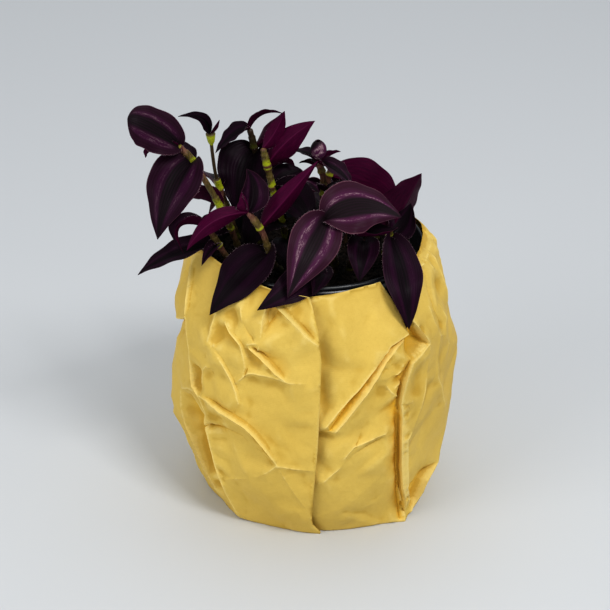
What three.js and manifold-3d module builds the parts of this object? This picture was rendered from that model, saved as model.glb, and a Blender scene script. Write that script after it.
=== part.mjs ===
// A potted tradescantia: an inch plant with burgundy leaves in its black nursery pot,
// wrapped in one crumpled sheet of yellow kraft paper.
// Millimetres, +Z up. The origin is on the pot's axis, at the level of the surface it stands on.
import * as THREE from "three";
import { mergeVertices } from "three/addons/utils/BufferGeometryUtils.js";
import Module from "manifold-3d";

const wasm = await Module();
wasm.setup();

// Driving dimensions
const GAP = 0.3; // clearance between pieces that touch
const PAPER = 1.1; // thickness of the paper wall, measured along the radius
const PAPER_FLOOR = 1; // thickness of the paper under the pot
const RIM_RADIUS = 62.5; // outside of the pot's rolled rim
const RIM_TOP = 154.5;
const RIM_BAND = 8; // height of the rim's band
const POT_WALL = 1.3;
const POT_FLOOR = 1.6;
const POT_FOOT_RADIUS = 46;
const POT_SHOULDER_RADIUS = 60; // outside of the wall just under the rim
const DRAIN_HOLES = 6;
const DRAIN_RADIUS = 4;
const DRAIN_SIDES = 12;
const DRAIN_CIRCLE = 33; // distance of the drain holes from the axis
const SOIL_TOP = 142.5;
const SOIL_BUMP = 1.2; // unevenness of the soil's top
const SOIL_RINGS = [44, 30, 15]; // radii of the rings of points on it
const SOIL_GAP = 0.5; // clearance between the soil and the pot
const STEM_RADIUS = 1.9;
const STEM_SIDES = 5;
const STEM_FOOT = 131.5; // level of the stems' lower ends, in the soil
const STEM_RISE = [135, 140, 145.5]; // levels up to which a stem goes straight up
const COLLAR_RADIUS = 2.6; // the thicker node where a leaf sheathes the stem
const LEAF_THICKNESS = 0.7;
const BROAD = 22; // a leaf wider than this is built of more faces
const LEAF_ROWS = { broad: 6, small: 5 }; // steps from a leaf's base to its tip
const LEAF_HALF_COLUMNS = { broad: 2, small: 1 }; // steps from the midrib to the margin
const ROUND = 32; // sides of the pot

const random = seeded(7);

// Materials
const colours = {
  pot: new THREE.MeshStandardMaterial({ color: 0x101214, roughness: 0.45, metalness: 0 }),
  soil: new THREE.MeshStandardMaterial({ color: 0x1a120c, roughness: 1, metalness: 0 }),
  paper: new THREE.MeshStandardMaterial({ color: 0xd9b654, roughness: 0.85, metalness: 0 }),
  leaf: new THREE.MeshStandardMaterial({ color: 0x3a1030, roughness: 0.5, metalness: 0 }),
};

// A repeatable series of numbers from 0 to 1.
function seeded(state) {
  return () => {
    state = (state * 1664525 + 1013904223) % 4294967296;
    return state / 4294967296;
  };
}

const radians = (degrees) => (degrees * Math.PI) / 180;
const vector = ([x, y, z]) => new THREE.Vector3(x, y, z);
const mix = (a, b, share) => a + (b - a) * share;

// The value at x of a line through [x, y] points in rising x.
function along(points, x) {
  const last = points.length - 1;
  const i = Math.min(Math.max(points.findIndex((p) => p[0] >= x), 1), last);
  const share = (x - points[i - 1][0]) / (points[i][0] - points[i - 1][0]);
  return mix(points[i - 1][1], points[i][1], Math.min(Math.max(share, 0), 1));
}

// Solids, joined and cut
function solidOf(geometry) {
  const bare = geometry.clone();
  bare.deleteAttribute("normal");
  bare.deleteAttribute("uv");
  const merged = mergeVertices(bare, 1e-4);
  const mesh = new wasm.Mesh({
    numProp: 3,
    vertProperties: new Float32Array(merged.attributes.position.array),
    triVerts: new Uint32Array(merged.index.array),
  });
  return new wasm.Manifold(mesh);
}

function geometryOf(solid) {
  const mesh = solid.getMesh();
  const geometry = new THREE.BufferGeometry();
  geometry.setAttribute("position", new THREE.BufferAttribute(mesh.vertProperties, 3));
  geometry.setIndex(new THREE.BufferAttribute(mesh.triVerts, 1));
  geometry.computeVertexNormals();
  return geometry;
}

function geometryFrom(points, triangles) {
  const geometry = new THREE.BufferGeometry();
  const flat = points.flatMap((p) => [p.x, p.y, p.z]);
  geometry.setAttribute("position", new THREE.Float32BufferAttribute(flat, 3));
  geometry.setIndex(triangles.flat());
  return geometry;
}

// The nursery pot: a thin tapered wall with a rolled rim and drain holes in its floor.
const POT_FOOT = PAPER_FLOOR + GAP;
const BAND_FOOT = RIM_TOP - RIM_BAND;
const potSlope = (POT_SHOULDER_RADIUS - POT_FOOT_RADIUS) / (BAND_FOOT - POT_FOOT);
const potOutside = (z) => POT_FOOT_RADIUS + (z - POT_FOOT) * potSlope;

function potGeometry() {
  const inside = (z) => potOutside(z) - POT_WALL;
  const floorTop = POT_FOOT + POT_FLOOR;
  const profile = [
    [0, POT_FOOT],
    [POT_FOOT_RADIUS - 2, POT_FOOT],
    [POT_FOOT_RADIUS, POT_FOOT + 2],
    [potOutside(BAND_FOOT - 1), BAND_FOOT - 1],
    [RIM_RADIUS - 0.6, BAND_FOOT],
    [RIM_RADIUS, BAND_FOOT + 1],
    [RIM_RADIUS, RIM_TOP - 3.4],
    [RIM_RADIUS - 0.7, RIM_TOP - 2.6],
    [RIM_RADIUS, RIM_TOP - 1.6],
    [RIM_RADIUS - 0.6, RIM_TOP - 0.3],
    [RIM_RADIUS - 1.4, RIM_TOP],
    [RIM_RADIUS - 2.2, RIM_TOP - 0.6],
    [inside(BAND_FOOT), BAND_FOOT],
    [inside(floorTop), floorTop],
    [0, floorTop],
  ];
  const lathe = new THREE.LatheGeometry(profile.map(([r, z]) => new THREE.Vector2(r, z)), ROUND);
  let pot = solidOf(lathe.rotateX(Math.PI / 2));
  for (let i = 0; i < DRAIN_HOLES; i++) {
    const angle = (i / DRAIN_HOLES) * 2 * Math.PI;
    const drill = new THREE.CylinderGeometry(DRAIN_RADIUS, DRAIN_RADIUS, 4 * POT_FLOOR, DRAIN_SIDES);
    drill.rotateX(Math.PI / 2);
    drill.translate(DRAIN_CIRCLE * Math.cos(angle), DRAIN_CIRCLE * Math.sin(angle), floorTop);
    pot = pot.subtract(solidOf(drill));
  }
  return geometryOf(pot);
}

// The potting soil: it fills the pot, a little uneven on top, with a plain hole for each stem.
function soilGeometry(stems) {
  const floorTop = POT_FOOT + POT_FLOOR + GAP;
  const edge = (z) => potOutside(z) - POT_WALL - SOIL_GAP;
  const profile = [
    [0, floorTop],
    [edge(floorTop), floorTop],
    [edge(SOIL_TOP), SOIL_TOP],
    ...SOIL_RINGS.map((radius) => [radius, SOIL_TOP]),
    [0, SOIL_TOP],
  ];
  const lathe = new THREE.LatheGeometry(profile.map(([r, z]) => new THREE.Vector2(r, z)), ROUND / 2);
  lathe.rotateX(Math.PI / 2).deleteAttribute("uv").deleteAttribute("normal");
  const body = mergeVertices(lathe, 1e-3);
  const place = body.attributes.position;
  for (let i = 0; i < place.count; i++) {
    const onTop = place.getZ(i) === SOIL_TOP;
    const offEdge = Math.hypot(place.getX(i), place.getY(i)) <= SOIL_RINGS[0];
    if (onTop && offEdge) place.setZ(i, SOIL_TOP + SOIL_BUMP * (random() - 0.5));
  }
  let soil = solidOf(body);
  const radius = STEM_RADIUS + 2 * GAP;
  const holeFoot = STEM_FOOT - GAP;
  const holeTop = SOIL_TOP + 2 * SOIL_BUMP;
  for (const [x, y] of stems) {
    const drill = new THREE.CylinderGeometry(radius, radius, holeTop - holeFoot, 2 * STEM_SIDES);
    drill.rotateX(Math.PI / 2).translate(x, y, (holeTop + holeFoot) / 2);
    soil = soil.subtract(solidOf(drill));
  }
  return geometryOf(soil);
}

// The paper wrap is one sheet, wound once round the pot so that its outer edge laps over its inner edge
// at the front. A point of the sheet is [angle in degrees, height, offset from the barrel].
// Angles rise anticlockwise seen from above, from the inner edge at TUCKED to the outer edge at 270.
const BARREL = [
  [0, 64], [12, 70], [30, 76], [55, 80], [85, 81.5], [108, 80], [126, 77.8], [141, 73.2], [149, 69],
  [153.5, 66.2], [158, 65.4],
];
const LEFT_SIDE = 187; // angle at which the sheet bulges least
const LEFT_FLAT = 3.6; // how much less it bulges there, half way up
const NECK = 150; // level where the sheet closes on the pot's rim
const TUCKED = -110;
const UNDERLAP = -4; // offset of the tucked part, under the outer edge
const SHEET_SCALE = 1.35; // millimetres of paper to a degree, for judging which points are close
const CREASE_STEP = 9; // longest step between the points of a crease
const CLOSE = 2.4; // points nearer than this to an earlier one are left out

const OUTLINE = [
  // inner edge, upwards
  [TUCKED, 0, UNDERLAP], [TUCKED, 45, UNDERLAP], [TUCKED, 95, UNDERLAP], [TUCKED, 151, -0.9],
  // top edge at the front, down into the notch at the right and up again
  [-100, 151.5, -0.9], [-92, 152, -0.6], [-80, 152.5, 0], [-69, 153, 0.3], [-58, 152.5, 1],
  [-55, 146, 1.4], [-52.5, 137, 1.8], [-50.8, 128, 2.2], [-49.5, 122, -3], [-47.5, 130, 0],
  [-45, 138, 0.4], [-41, 146, 0.6], [-35, 153, 0.8],
  // top edge round the right, the back and the left
  [-24, 155, 1.5], [-14, 155.5, 3.5], [-3, 154.5, 4.5], [10, 152.5, 2], [24, 151, 2.5], [40, 151, 0.3],
  [56, 152.5, 1.8], [74, 153, 0.2], [90, 153.5, 2], [106, 152.5, 0.3], [124, 154, 1.6], [140, 154, 0.2],
  [155, 154.5, 1.2], [170, 154.5, 0.2], [184, 155, 0.8], [198, 155, 0.2], [210, 154, 0.6], [224, 153.5, 0.3],
  [238, 153, 0.4], [250, 152.5, 0.5], [260, 152.5, 1],
  // outer edge, downwards
  [268, 153, 1.2], [269, 147, 1.4], [271.5, 135, 1.6], [273, 120, 2], [273.5, 94, 2.2], [272.5, 72, 2],
  [270.5, 42, 1.6], [269.5, 17, 1], [269.5, 0, 1.5],
];

// Creases in the sheet: each is a line of points, proud (+) or sunk (-) of the barrel.
const CREASES = {
  lapRidge: [[251, 150, 2.6], [260, 142, 3.5], [271, 128, 2.6]],
  lapShade: [[255, 149, -0.6], [262, 142, -0.8], [270, 131, 0]],
  slot: [[247, 150, 1.6], [250.5, 143, -2.5], [249, 134, -1.6], [246, 131, 1.4]],
  pocketRim: [[238, 125, 2.6], [243, 126, 2.6], [249, 125, 1.6], [247, 118, 1], [242, 117, 2.2]],
  crossRidge: [[243, 126, 2.6], [251, 115, 3.4], [259, 107, 2.8], [272, 106, 2.6]],
  crossShade: [[252, 118, -1], [260, 111, -1.2], [270, 109, 0.6]],
  lowBranch: [[239, 101, 2.4], [244, 109, 2.6], [254, 109, 2]],
  curl: [[238, 125, 2.6], [242, 117, 2.2], [242, 110, 1], [239, 101, 2.4]],
  leftRidge: [[225, 135, 2], [226, 124, 3], [225, 116, 2.4], [223, 104, 2]],
  hook: [[221, 99, -3.4], [218, 93, -3.6], [221, 87, -2]],
  hookRidge: [[227, 116, 1], [234, 110, 2.4], [237, 103, 2.2], [239, 95, 0.6]],
  softBelow: [[256, 95, -0.8], [257, 77, 0.4], [261, 61, 1]],
  pocketEdge: [[222, 82, 3.4], [225, 76, 3.2], [227, 53, 2.8], [230, 33, 2.6], [234, 14, 1.6], [238, 0, 2]],
  longRidge: [
    [222, 82, 3.4], [229, 81, 3.4], [236, 78, 3.6], [244, 75, 3.8], [251, 68, 3.8], [255, 60, 3.8],
    [256, 55, 4],
  ],
  longShade: [[233, 84, -1], [245, 79, -1.8], [254, 68, -2], [260, 59, 0]],
  starLeft: [[256, 55, 4], [248, 46, 2.4], [233, 36, 1.2]],
  starRight: [[256, 55, 4], [262, 53, 1.4], [271, 53, 1.6]],
  starDown: [[256, 55, 4], [261, 41, 1.8], [266, 24, 1.2], [265, 8, 0.8]],
  underLong: [[226, 71, -1.4], [235, 68, -0.8], [244, 62, -0.8], [253, 54, 0.4]],
  brownPocket: [[211, 72, -4], [210, 55, -5], [216, 41, -4], [221, 24, -1.4]],
  leftEdge: [
    [195, 151, 2], [203, 139, 2.6], [209, 126, 3.2], [211, 112, 2.6], [215, 92, 2.4], [222, 82, 3.4],
  ],
  leftValley: [[217, 119, -2], [215, 104, -1.6], [209, 92, -2.4]],
  leftFlap: [[190, 131, 3], [197, 122, 4], [201, 110, 3.6], [197, 102, -1.2], [188, 108, 1]],
  sidePocket: [[190, 62, -5], [195, 49, -5.5], [199, 36, -2]],
  sideRidge: [[180, 118, 2], [183, 92, 2], [186, 75, 3], [200, 70, 3], [203, 45, 2.6], [209, 22, 2]],
  bandUpper: [
    [-53, 121, 1], [-60, 119, 1.4], [-65, 114, 1.2], [-69, 107, 1], [-76, 96, 0.6], [-82, 84, 0.6],
  ],
  bandFloor: [
    [-51, 119, -4], [-57, 116, -4.6], [-61, 110, -5], [-65, 102, -5], [-72, 92, -4], [-79, 81, -1.6],
  ],
  bandLower: [[-51, 114, 1], [-56, 112, 2.6], [-63, 104, 2.4], [-67, 97, 2], [-73, 87, 1.2]],
  rightEdge: [
    [-43, 115, 4], [-49, 109, 4.4], [-52, 100, 4.6], [-53, 90, 4.6], [-53, 77, 4.4], [-54, 56, 4.4],
    [-53, 38, 4.2], [-49, 18, 4], [-46, 0, 5.5],
  ],
  pleat: [[-56, 82, -5], [-56, 62, -6], [-55, 40, -6], [-52, 20, -4], [-49, 3, -2]],
  pleatLeft: [[-60, 84, 0.4], [-60, 68, 1.2], [-60, 52, 1.4], [-59, 36, 1.2], [-55, 16, 1], [-51, 0, 1]],
  strip: [[-50, 61, 3], [-49, 40, 3], [-46, 16, 3]],
  lensLip: [[-33, 26, 2.6], [-37, 10, 3.6], [-44, 4, 4]],
  rightRidge: [[-50, 61, 3], [-44, 79, 2.6], [-38, 98, 2.4], [-30, 111, 2], [-26, 128, 1]],
  rightLine: [[-29, 93, 1.4], [-24, 73, 0.4], [-22, 52, 1.6]],
  shoulderFold: [[-24, 149, -2], [-20, 138, -3], [-24, 132, -1.6], [-18, 122, -2.2], [-20, 104, -0.6]],
  shoulderRidge: [[-14, 149, 2.6], [-13, 134, 2.2], [-10, 118, 2], [-12, 98, 1.6]],
  lowRight: [[-20, 30, 1.4], [-27, 33, 2.4], [-31, 30, 2.6], [-33, 26, 2.6]],
  fanTop: [[-74, 68, 1.4], [-67, 66, -1], [-63, 67, 0.4]],
  fanMiddle: [[-70, 57, 1.2], [-64, 57, -0.8]],
  frontCrease: [[-86, 39, -2], [-75, 47, -2], [-68, 62, -1.8]],
  frontRidge: [[-84, 33, 1.2], [-73, 41, 1.4], [-66, 48, 1.4]],
};

// Loose points between the creases.
const DENTS = [
  [244.5, 121, -4.5], [219, 144, -1.2], [222, 132, -1.2], [232, 144, 1.2], [233, 134, 1.2],
  [240, 141, -0.4], [240, 22, -0.6], [250, 28, -0.4], [256, 12, 0.4], [-55, 107, -3], [-59, 102, 1.4],
  [-52.5, 101, -4], [-57, 96, 1], [-52.5, 91, -6], [-60, 92, -0.6], [-45, 30, -5], [-41, 14, -5.5],
  [-37, 22, -4], [-40, 126, 1.6], [-36, 116, 1], [-34, 134, 1], [-40, 88, 0.4], [-47, 84, 1],
  [-80, 18, 0.6], [-68, 22, 1], [-60, 12, 0.4], [-84, 128, -0.4], [-74, 130, 0.4], [-63, 134, 1],
  [-84, 105, -1], [-74, 112, 0.4], [-86, 72, -0.8], [-87, 12, -0.6], [-100, 120, UNDERLAP],
  [-98, 70, UNDERLAP], [-98, 22, UNDERLAP], [-93, 132, -3], [-92, 100, -3], [-92, 50, -3],
];

// The distance between two points of the sheet.
const apart = (p, q) => Math.hypot((p[0] - q[0]) * SHEET_SCALE, p[1] - q[1]);

// The creases' points, close enough together for the net to follow each line.
function creasePoints() {
  const points = [];
  for (const line of Object.values(CREASES)) {
    points.push(line[0]);
    line.slice(1).forEach((end, i) => {
      const start = line[i];
      const steps = Math.ceil(apart(start, end) / CREASE_STEP);
      for (let k = 1; k <= steps; k++) points.push(start.map((value, axis) => mix(value, end[axis], k / steps)));
    });
  }
  return points;
}

// Round the back the creases follow a rule: staggered rows of ridges and hollows, drawn from the seed.
const BACK = { from: -8, to: 182, heights: [14, 34, 56, 78, 100, 120, 138], step: 15, proud: 2.8 };

function backPoints() {
  const points = [];
  BACK.heights.forEach((height, row) => {
    const shift = (row % 2) * 0.5;
    for (let i = 0; BACK.from + (i + shift + 0.5) * BACK.step < BACK.to; i++) {
      const angle = BACK.from + (i + shift + 0.5 + 0.5 * (random() - 0.5)) * BACK.step;
      const side = (i + row) % 2 ? 1 : -0.7;
      points.push([angle, height + 9 * (random() - 0.5), side * BACK.proud * (0.4 + 0.6 * random())]);
    }
  });
  return points;
}

// The foot of the sheet, where it turns under the pot.
function footPoints() {
  const points = [];
  for (let angle = -98; angle < 262; angle += 12) {
    const clear = ![...OUTLINE, ...creasePoints()].some(([a, z]) => z < 1 && Math.abs(a - angle) < 7);
    const tucked = angle < -88;
    if (clear) points.push([angle, 0, tucked ? UNDERLAP : 1.5 * (random() - 0.4)]);
  }
  return points;
}

// Triangles of the flat points' Delaunay net, as rows of three indices, anticlockwise.
function delaunay(points) {
  const far = 1e4;
  const all = [...points, [-far, -far], [far, -far], [0, far]];
  const n = points.length;
  const inCircle = ([a, b, c], p) => {
    const [ax, ay, bx, by, cx, cy] = [a, b, c].flatMap((i) => [all[i][0] - p[0], all[i][1] - p[1]]);
    const [aa, bb, cc] = [ax * ax + ay * ay, bx * bx + by * by, cx * cx + cy * cy];
    return ax * (by * cc - bb * cy) - ay * (bx * cc - bb * cx) + aa * (bx * cy - by * cx) > 0;
  };
  let triangles = [[n, n + 1, n + 2]];
  points.forEach((p, index) => {
    const hit = triangles.filter((t) => inCircle(t, p));
    const edges = hit.flatMap(([a, b, c]) => [[a, b], [b, c], [c, a]]);
    const border = edges.filter(([a, b]) => !edges.some(([c, d]) => c === b && d === a));
    triangles = triangles.filter((t) => !hit.includes(t)).concat(border.map(([a, b]) => [a, b, index]));
  });
  return triangles.filter((t) => t.every((i) => i < n));
}

function inside(polygon, [x, y]) {
  let odd = false;
  polygon.forEach(([ax, ay], i) => {
    const [bx, by] = polygon[(i + 1) % polygon.length];
    if (ay > y !== by > y && x < ax + ((y - ay) / (by - ay)) * (bx - ax)) odd = !odd;
  });
  return odd;
}

// How much less the barrel bulges at a point on the left: nothing at the foot and at the neck.
function flatter([angle, z]) {
  const aside = Math.max(Math.cos(radians(angle - LEFT_SIDE)), 0);
  return LEFT_FLAT * aside * Math.sin(Math.PI * Math.min(z / NECK, 1));
}

function paperGeometry() {
  const foot = footPoints();
  const rows = [...OUTLINE, ...foot, ...creasePoints(), ...DENTS, ...backPoints()];
  const sheet = rows.filter((p, i) => !rows.slice(0, i).some((q) => apart(p, q) < CLOSE));
  // A hair of jitter keeps points off common circles, which have no single net.
  const flat = sheet.map(([angle, z]) => [angle * SHEET_SCALE + 0.02 * random(), z + 0.02 * random()]);
  const bottom = sheet.filter((p) => p[1] === 0).sort((a, b) => b[0] - a[0]);
  const border = [...OUTLINE.filter((p) => p[1] > 0), ...bottom];
  const outline = border.map(([angle, z]) => [angle * SHEET_SCALE, z]);
  const net = delaunay(flat).filter((t) => {
    const centre = [0, 1].map((k) => (flat[t[0]][k] + flat[t[1]][k] + flat[t[2]][k]) / 3);
    return inside(outline, centre);
  });
  const radius = (p) => along(BARREL, p[1]) + p[2] - flatter(p);
  const place = (p, r) => new THREE.Vector3(r * Math.cos(radians(p[0])), r * Math.sin(radians(p[0])), p[1]);
  const outer = sheet.map((p) => place(p, radius(p)));
  const inner = sheet.map((p) => place(p, radius(p) - PAPER));
  const n = sheet.length;
  const edges = net.flatMap(([a, b, c]) => [[a, b], [b, c], [c, a]]);
  const keys = new Set(edges.map(([a, b]) => a * n + b));
  const open = edges.filter(([a, b]) => !keys.has(b * n + a));
  const walls = open.flatMap(([a, b]) => [[b, a, a + n], [b, a + n, b + n]]);
  const backs = net.map(([a, b, c]) => [a + n, c + n, b + n]);
  const wall = solidOf(geometryFrom([...outer, ...inner], [...net, ...backs, ...walls]));

  const shape = new THREE.Shape(
    bottom
      .filter(([angle]) => angle > -90)
      .reverse()
      .map((p) => new THREE.Vector2().copy(place(p, radius(p) - PAPER / 2))),
  );
  const floor = new THREE.ExtrudeGeometry(shape, { depth: PAPER_FLOOR, bevelEnabled: false });
  return geometryOf(wall.add(solidOf(floor)));
}

// A leaf: where on its stem it grows (0 at the soil, 1 at the top), its tip, how far its middle bows off
// the straight line, the way its upper side faces, its width, and how far each half folds and curls to it.
function leaf(at, tip, bow, faces, width, fold = 12, curl = 20) {
  return { at, tip, bow, faces, width, fold, curl };
}

const LEAFY_STEMS = [
  {
    name: "leafy_stem_tall_left",
    path: [[-40, -8], [-49, -16, 179], [-58, -20, 201], [-65, -24, 214], [-72, -26, 222]],
    leaves: [
      leaf(0.98, [-99, -40, 239], [0, -4, 7], [0.1, -0.75, 0.65], 28, -6, -34),
      leaf(0.98, [-89, -34, 217], [-4, -3, 3], [0.2, 0.3, 0.9], 11, 30, 40),
      leaf(0.86, [-88, -12, 213], [0, 2, 3], [0.1, 0.25, 0.95], 17, 14, 20),
      leaf(0.86, [-83, -50, 177], [-4, -7, 8], [-0.25, -0.8, 0.5], 33, 10, -22),
      leaf(0.52, [-80, -11, 172], [-2, 1, 7], [-0.25, 0.75, 0.6], 27, 12, 16),
      leaf(0.36, [-63, -17, 160], [-3, 0, 4], [-0.4, -0.6, 0.7], 18, 14, 16),
    ],
  },
  {
    name: "leafy_stem_bud_left",
    path: [[-42, 4], [-48, 3, 168], [-54, -3, 196], [-56, -7, 210], [-56.5, -7.5, 217]],
    leaves: [
      leaf(1, [-74, -7, 230], [1, 0, 5], [0.3, 0.3, 0.9], 11, 26, 20),
      leaf(1, [-50, -8, 228], [0, 0, -1], [0.8, 0.3, 0.5], 3, 30, 20),
      leaf(0.6, [-54, 36, 168], [-2, 3, 8], [-0.1, 0.5, 0.9], 24, 12, 20),
    ],
  },
  {
    name: "leafy_stem_low_left",
    path: [[-43, -22], [-47, -26, 154], [-53, -31, 167], [-57, -35, 177]],
    leaves: [
      leaf(1, [-70, -44, 166], [-8, -2, 9], [-0.5, -0.1, 0.85], 17, 30, 20),
      leaf(0.7, [-95, -44, 153], [-2, -2, 4], [-0.3, -0.3, 0.9], 23, 10, 10),
      leaf(0.7, [-60, -51, 162], [0, -1, 3], [0.4, 0.5, 0.8], 10, 30, 20),
    ],
  },
  {
    name: "leafy_stem_front",
    path: [[-18, -24], [-21, -28, 150], [-24, -32, 160], [-28, -38, 176], [-35, -42, 189]],
    leaves: [
      leaf(1, [-67, -60, 175], [-1, -1, 0], [-0.3, 0.1, 0.95], 22, 34, 10),
      leaf(1, [-40, -43, 201], [1, -1, 0], [-0.7, 0.5, 0.3], 12, 30, 20),
      leaf(1, [-37, -33, 209], [4, 2, 0], [-0.2, 0.9, 0.3], 22, 18, 20),
      leaf(0.8, [1, -30, 213], [3, -5, -4], [-0.1, 0.93, -0.3], 26, 42, 16),
      leaf(0.8, [-55, -58, 136], [3, -9, 6], [-0.5, -0.78, 0.38], 31, 8, -18),
    ],
  },
  {
    name: "leafy_stem_low_front",
    path: [[-2, -28], [0, -35, 150], [3, -44, 156]],
    leaves: [
      leaf(0.95, [-30, -74, 147], [3, -4, 5], [0, -0.62, 0.78], 27, 8, 8),
      leaf(0.7, [-1, -73, 155], [3, -2, 5], [0.2, -0.5, 0.85], 16, 12, 12),
    ],
  },
  {
    name: "leafy_stem_upper_middle",
    path: [[-14, 4], [-18, 0, 165], [-20, -4, 182], [-23, -8, 199], [-25, -10, 209]],
    leaves: [
      leaf(1, [-16, -12, 234], [-3, 2, 1], [-0.4, 0.85, 0.2], 22, 26, 20),
      leaf(0.93, [1, -15, 228], [1, 0, -4], [-0.35, 0.85, -0.3], 25, 22, 16),
      leaf(0.68, [-3, -26, 172], [3, -2, 6], [0.3, -0.8, 0.5], 26, 12, 12),
      leaf(0.4, [-36, -14, 152], [-3, -3, 9], [-0.4, -0.7, 0.6], 25, 12, 12),
      leaf(0.25, [-9, -36, 147], [0, -3, 6], [-0.1, -0.8, 0.6], 20, 12, 12),
    ],
  },
  {
    name: "leafy_stem_dark_back",
    path: [[-30, 18], [-34, 17, 184], [-37, 11, 203], [-38, 9, 216]],
    leaves: [
      leaf(1, [-55, 6, 196], [-1, 0, 4], [-0.4, -0.5, 0.75], 25, 10, 14),
      leaf(1, [-17, 11, 222], [0, 1, 6], [-0.3, 0.3, 0.9], 10, 30, 20),
      leaf(0.82, [-39, -8, 171], [-1, -2, 7], [-0.3, -0.85, 0.5], 29, 8, 10),
      leaf(0.82, [-3, 23, 178], [-1, 3, 3], [0.1, -0.9, 0.4], 27, 10, 10),
      leaf(0.5, [-28, 50, 158], [0, 3, 8], [0.1, 0.5, 0.85], 22, 12, 14),
    ],
  },
  {
    name: "leafy_stem_middle",
    path: [[5, 6], [5, 4, 170], [5, 1, 191], [3, -1, 200]],
    bud: { centre: [2, -3, 207], radius: 4.3 },
    leaves: [
      leaf(1, [-13, 11, 205], [0, 2, 5], [-0.2, 0.2, 0.95], 12, 16, 20),
      leaf(1, [21, -15, 192], [1, -1, 2], [0.4, -0.1, 0.9], 18, 16, -10),
      leaf(1, [15, 6, 202], [0, 1, 3], [0, 0.4, 0.9], 9, 30, 20),
      leaf(0.92, [-14, 14, 196], [0, 1, 3], [-0.1, 0.3, 0.9], 9, 24, 20),
      leaf(0.7, [19, -16, 177], [2, -1, 7], [0.5, -0.5, 0.7], 22, 14, 14),
      leaf(0.42, [-9, 40, 160], [0, 2, 8], [0, 0.5, 0.85], 18, 12, 14),
      leaf(0.34, [8, -25, 153], [2, -3, 7], [0.3, -0.8, 0.55], 19, 12, 12),
    ],
  },
  {
    name: "leafy_stem_back_right",
    path: [[18, 20], [15, 18, 164], [10, 15, 177], [8, 13, 185], [11, 13, 193]],
    leaves: [
      leaf(0.9, [48, 3, 173], [6, 2, 2], [0.1, 0.95, 0.05], 31, 6, 10),
      leaf(0.6, [30, 44, 158], [0, 3, 7], [0.2, 0.5, 0.85], 23, 12, 16),
      leaf(0.6, [37, 2, 160], [3, 0, 8], [0.3, -0.6, 0.75], 22, 12, 16),
    ],
  },
  {
    name: "leafy_stem_front_right",
    path: [[12, -20], [11, -26, 155], [10, -32, 168], [6, -40, 184]],
    leaves: [
      leaf(1, [-14, -73, 154], [0, -5, 5], [0.1, -0.85, 0.55], 29, 8, -26),
      leaf(1, [46, -44, 187], [0, 0, 7], [0.05, -0.62, 0.78], 33, 4, -34),
      leaf(0.9, [45, -37, 178], [2, -3, -4], [0, -0.2, 0.97], 22, 24, 40),
    ],
  },
  {
    name: "leafy_stem_low_right",
    path: [[20, -18], [22, -25, 154], [27, -33, 168]],
    leaves: [leaf(1, [24, -58, 156], [0, -5, 5], [0, -0.85, 0.5], 22, 10, 14)],
  },
  {
    name: "leafy_stem_right",
    path: [[39, -8], [41, -16, 159], [41.5, -20, 170]],
    leaves: [
      leaf(0.86, [52, -63, 130], [1.5, -16, 8], [0.35, -0.9, 0.3], 26, 8, -14),
      leaf(0.86, [59, -8, 198], [6, 1, -4], [-0.5, 0.85, 0.12], 27, 18, 16),
    ],
  },
  {
    name: "leafy_stem_rear_left",
    path: [[-24, 40], [-28, 45, 152], [-33, 51, 160]],
    leaves: [
      leaf(1, [-45, 85, 130], [-3, 6, 8], [-0.4, 0.7, 0.6], 27, 10, -14),
      leaf(0.8, [-62, 50, 146], [-4, 4, 8], [-0.6, 0.5, 0.7], 23, 12, -10),
      leaf(0.7, [-21, 76, 143], [0, 5, 8], [0.1, 0.6, 0.8], 18, 14, 16),
    ],
  },
  {
    name: "leafy_stem_rear",
    path: [[8, 44], [9, 50, 151], [10, 57, 158]],
    leaves: [
      leaf(1, [8, 92, 128], [0, 6, 8], [0, 0.75, 0.6], 29, 10, -16),
      leaf(0.6, [-14, 74, 148], [-2, 5, 11], [-0.3, 0.6, 0.75], 20, 12, 14),
    ],
  },
  {
    name: "leafy_stem_rear_right",
    path: [[36, 24], [39, 29, 155], [42, 34, 162]],
    leaves: [
      leaf(1, [57, 74, 128], [3, 7, 11], [0.5, 0.6, 0.6], 22, 10, -14),
      leaf(0.8, [33, 68, 150], [0, 4, 12], [-0.1, 0.6, 0.8], 18, 12, 12),
    ],
  },
];

// The share of its full width that a leaf has, from its base (0) to its pointed tip (1).
function leafShare(t) {
  const body = Math.pow(Math.sin(Math.PI * Math.pow(0.03 + 0.97 * t, 0.72)), 0.85);
  return Math.max(body * (1 - 0.22 * t * t), 0.035);
}

// A point of the leaf's middle surface: t from base to tip, x from one margin (-1) to the other (1).
function leafPoint(spec, base, t, x) {
  const tip = vector(spec.tip);
  const bend = base.clone().add(tip).multiplyScalar(0.5).addScaledVector(vector(spec.bow), 2);
  const rib = new THREE.QuadraticBezierCurve3(base, bend, tip);
  const forward = rib.getTangent(t);
  const side = forward.clone().cross(vector(spec.faces)).normalize();
  const up = side.clone().cross(forward).normalize();
  const half = (spec.width / 2) * leafShare(t);
  const atBase = Math.pow(1 - t, 4);
  const fold = radians(mix(spec.fold, 50, atBase));
  const curl = radians(mix(spec.curl, 20, atBase)) || 1e-6;
  const reach = Math.abs(x);
  const out = ((Math.sin(fold + curl * reach) - Math.sin(fold)) / curl) * half * Math.sign(x);
  const lift = ((Math.cos(fold) - Math.cos(fold + curl * reach)) / curl) * half;
  return rib.getPoint(t).addScaledVector(side, out).addScaledVector(up, lift);
}

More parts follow.
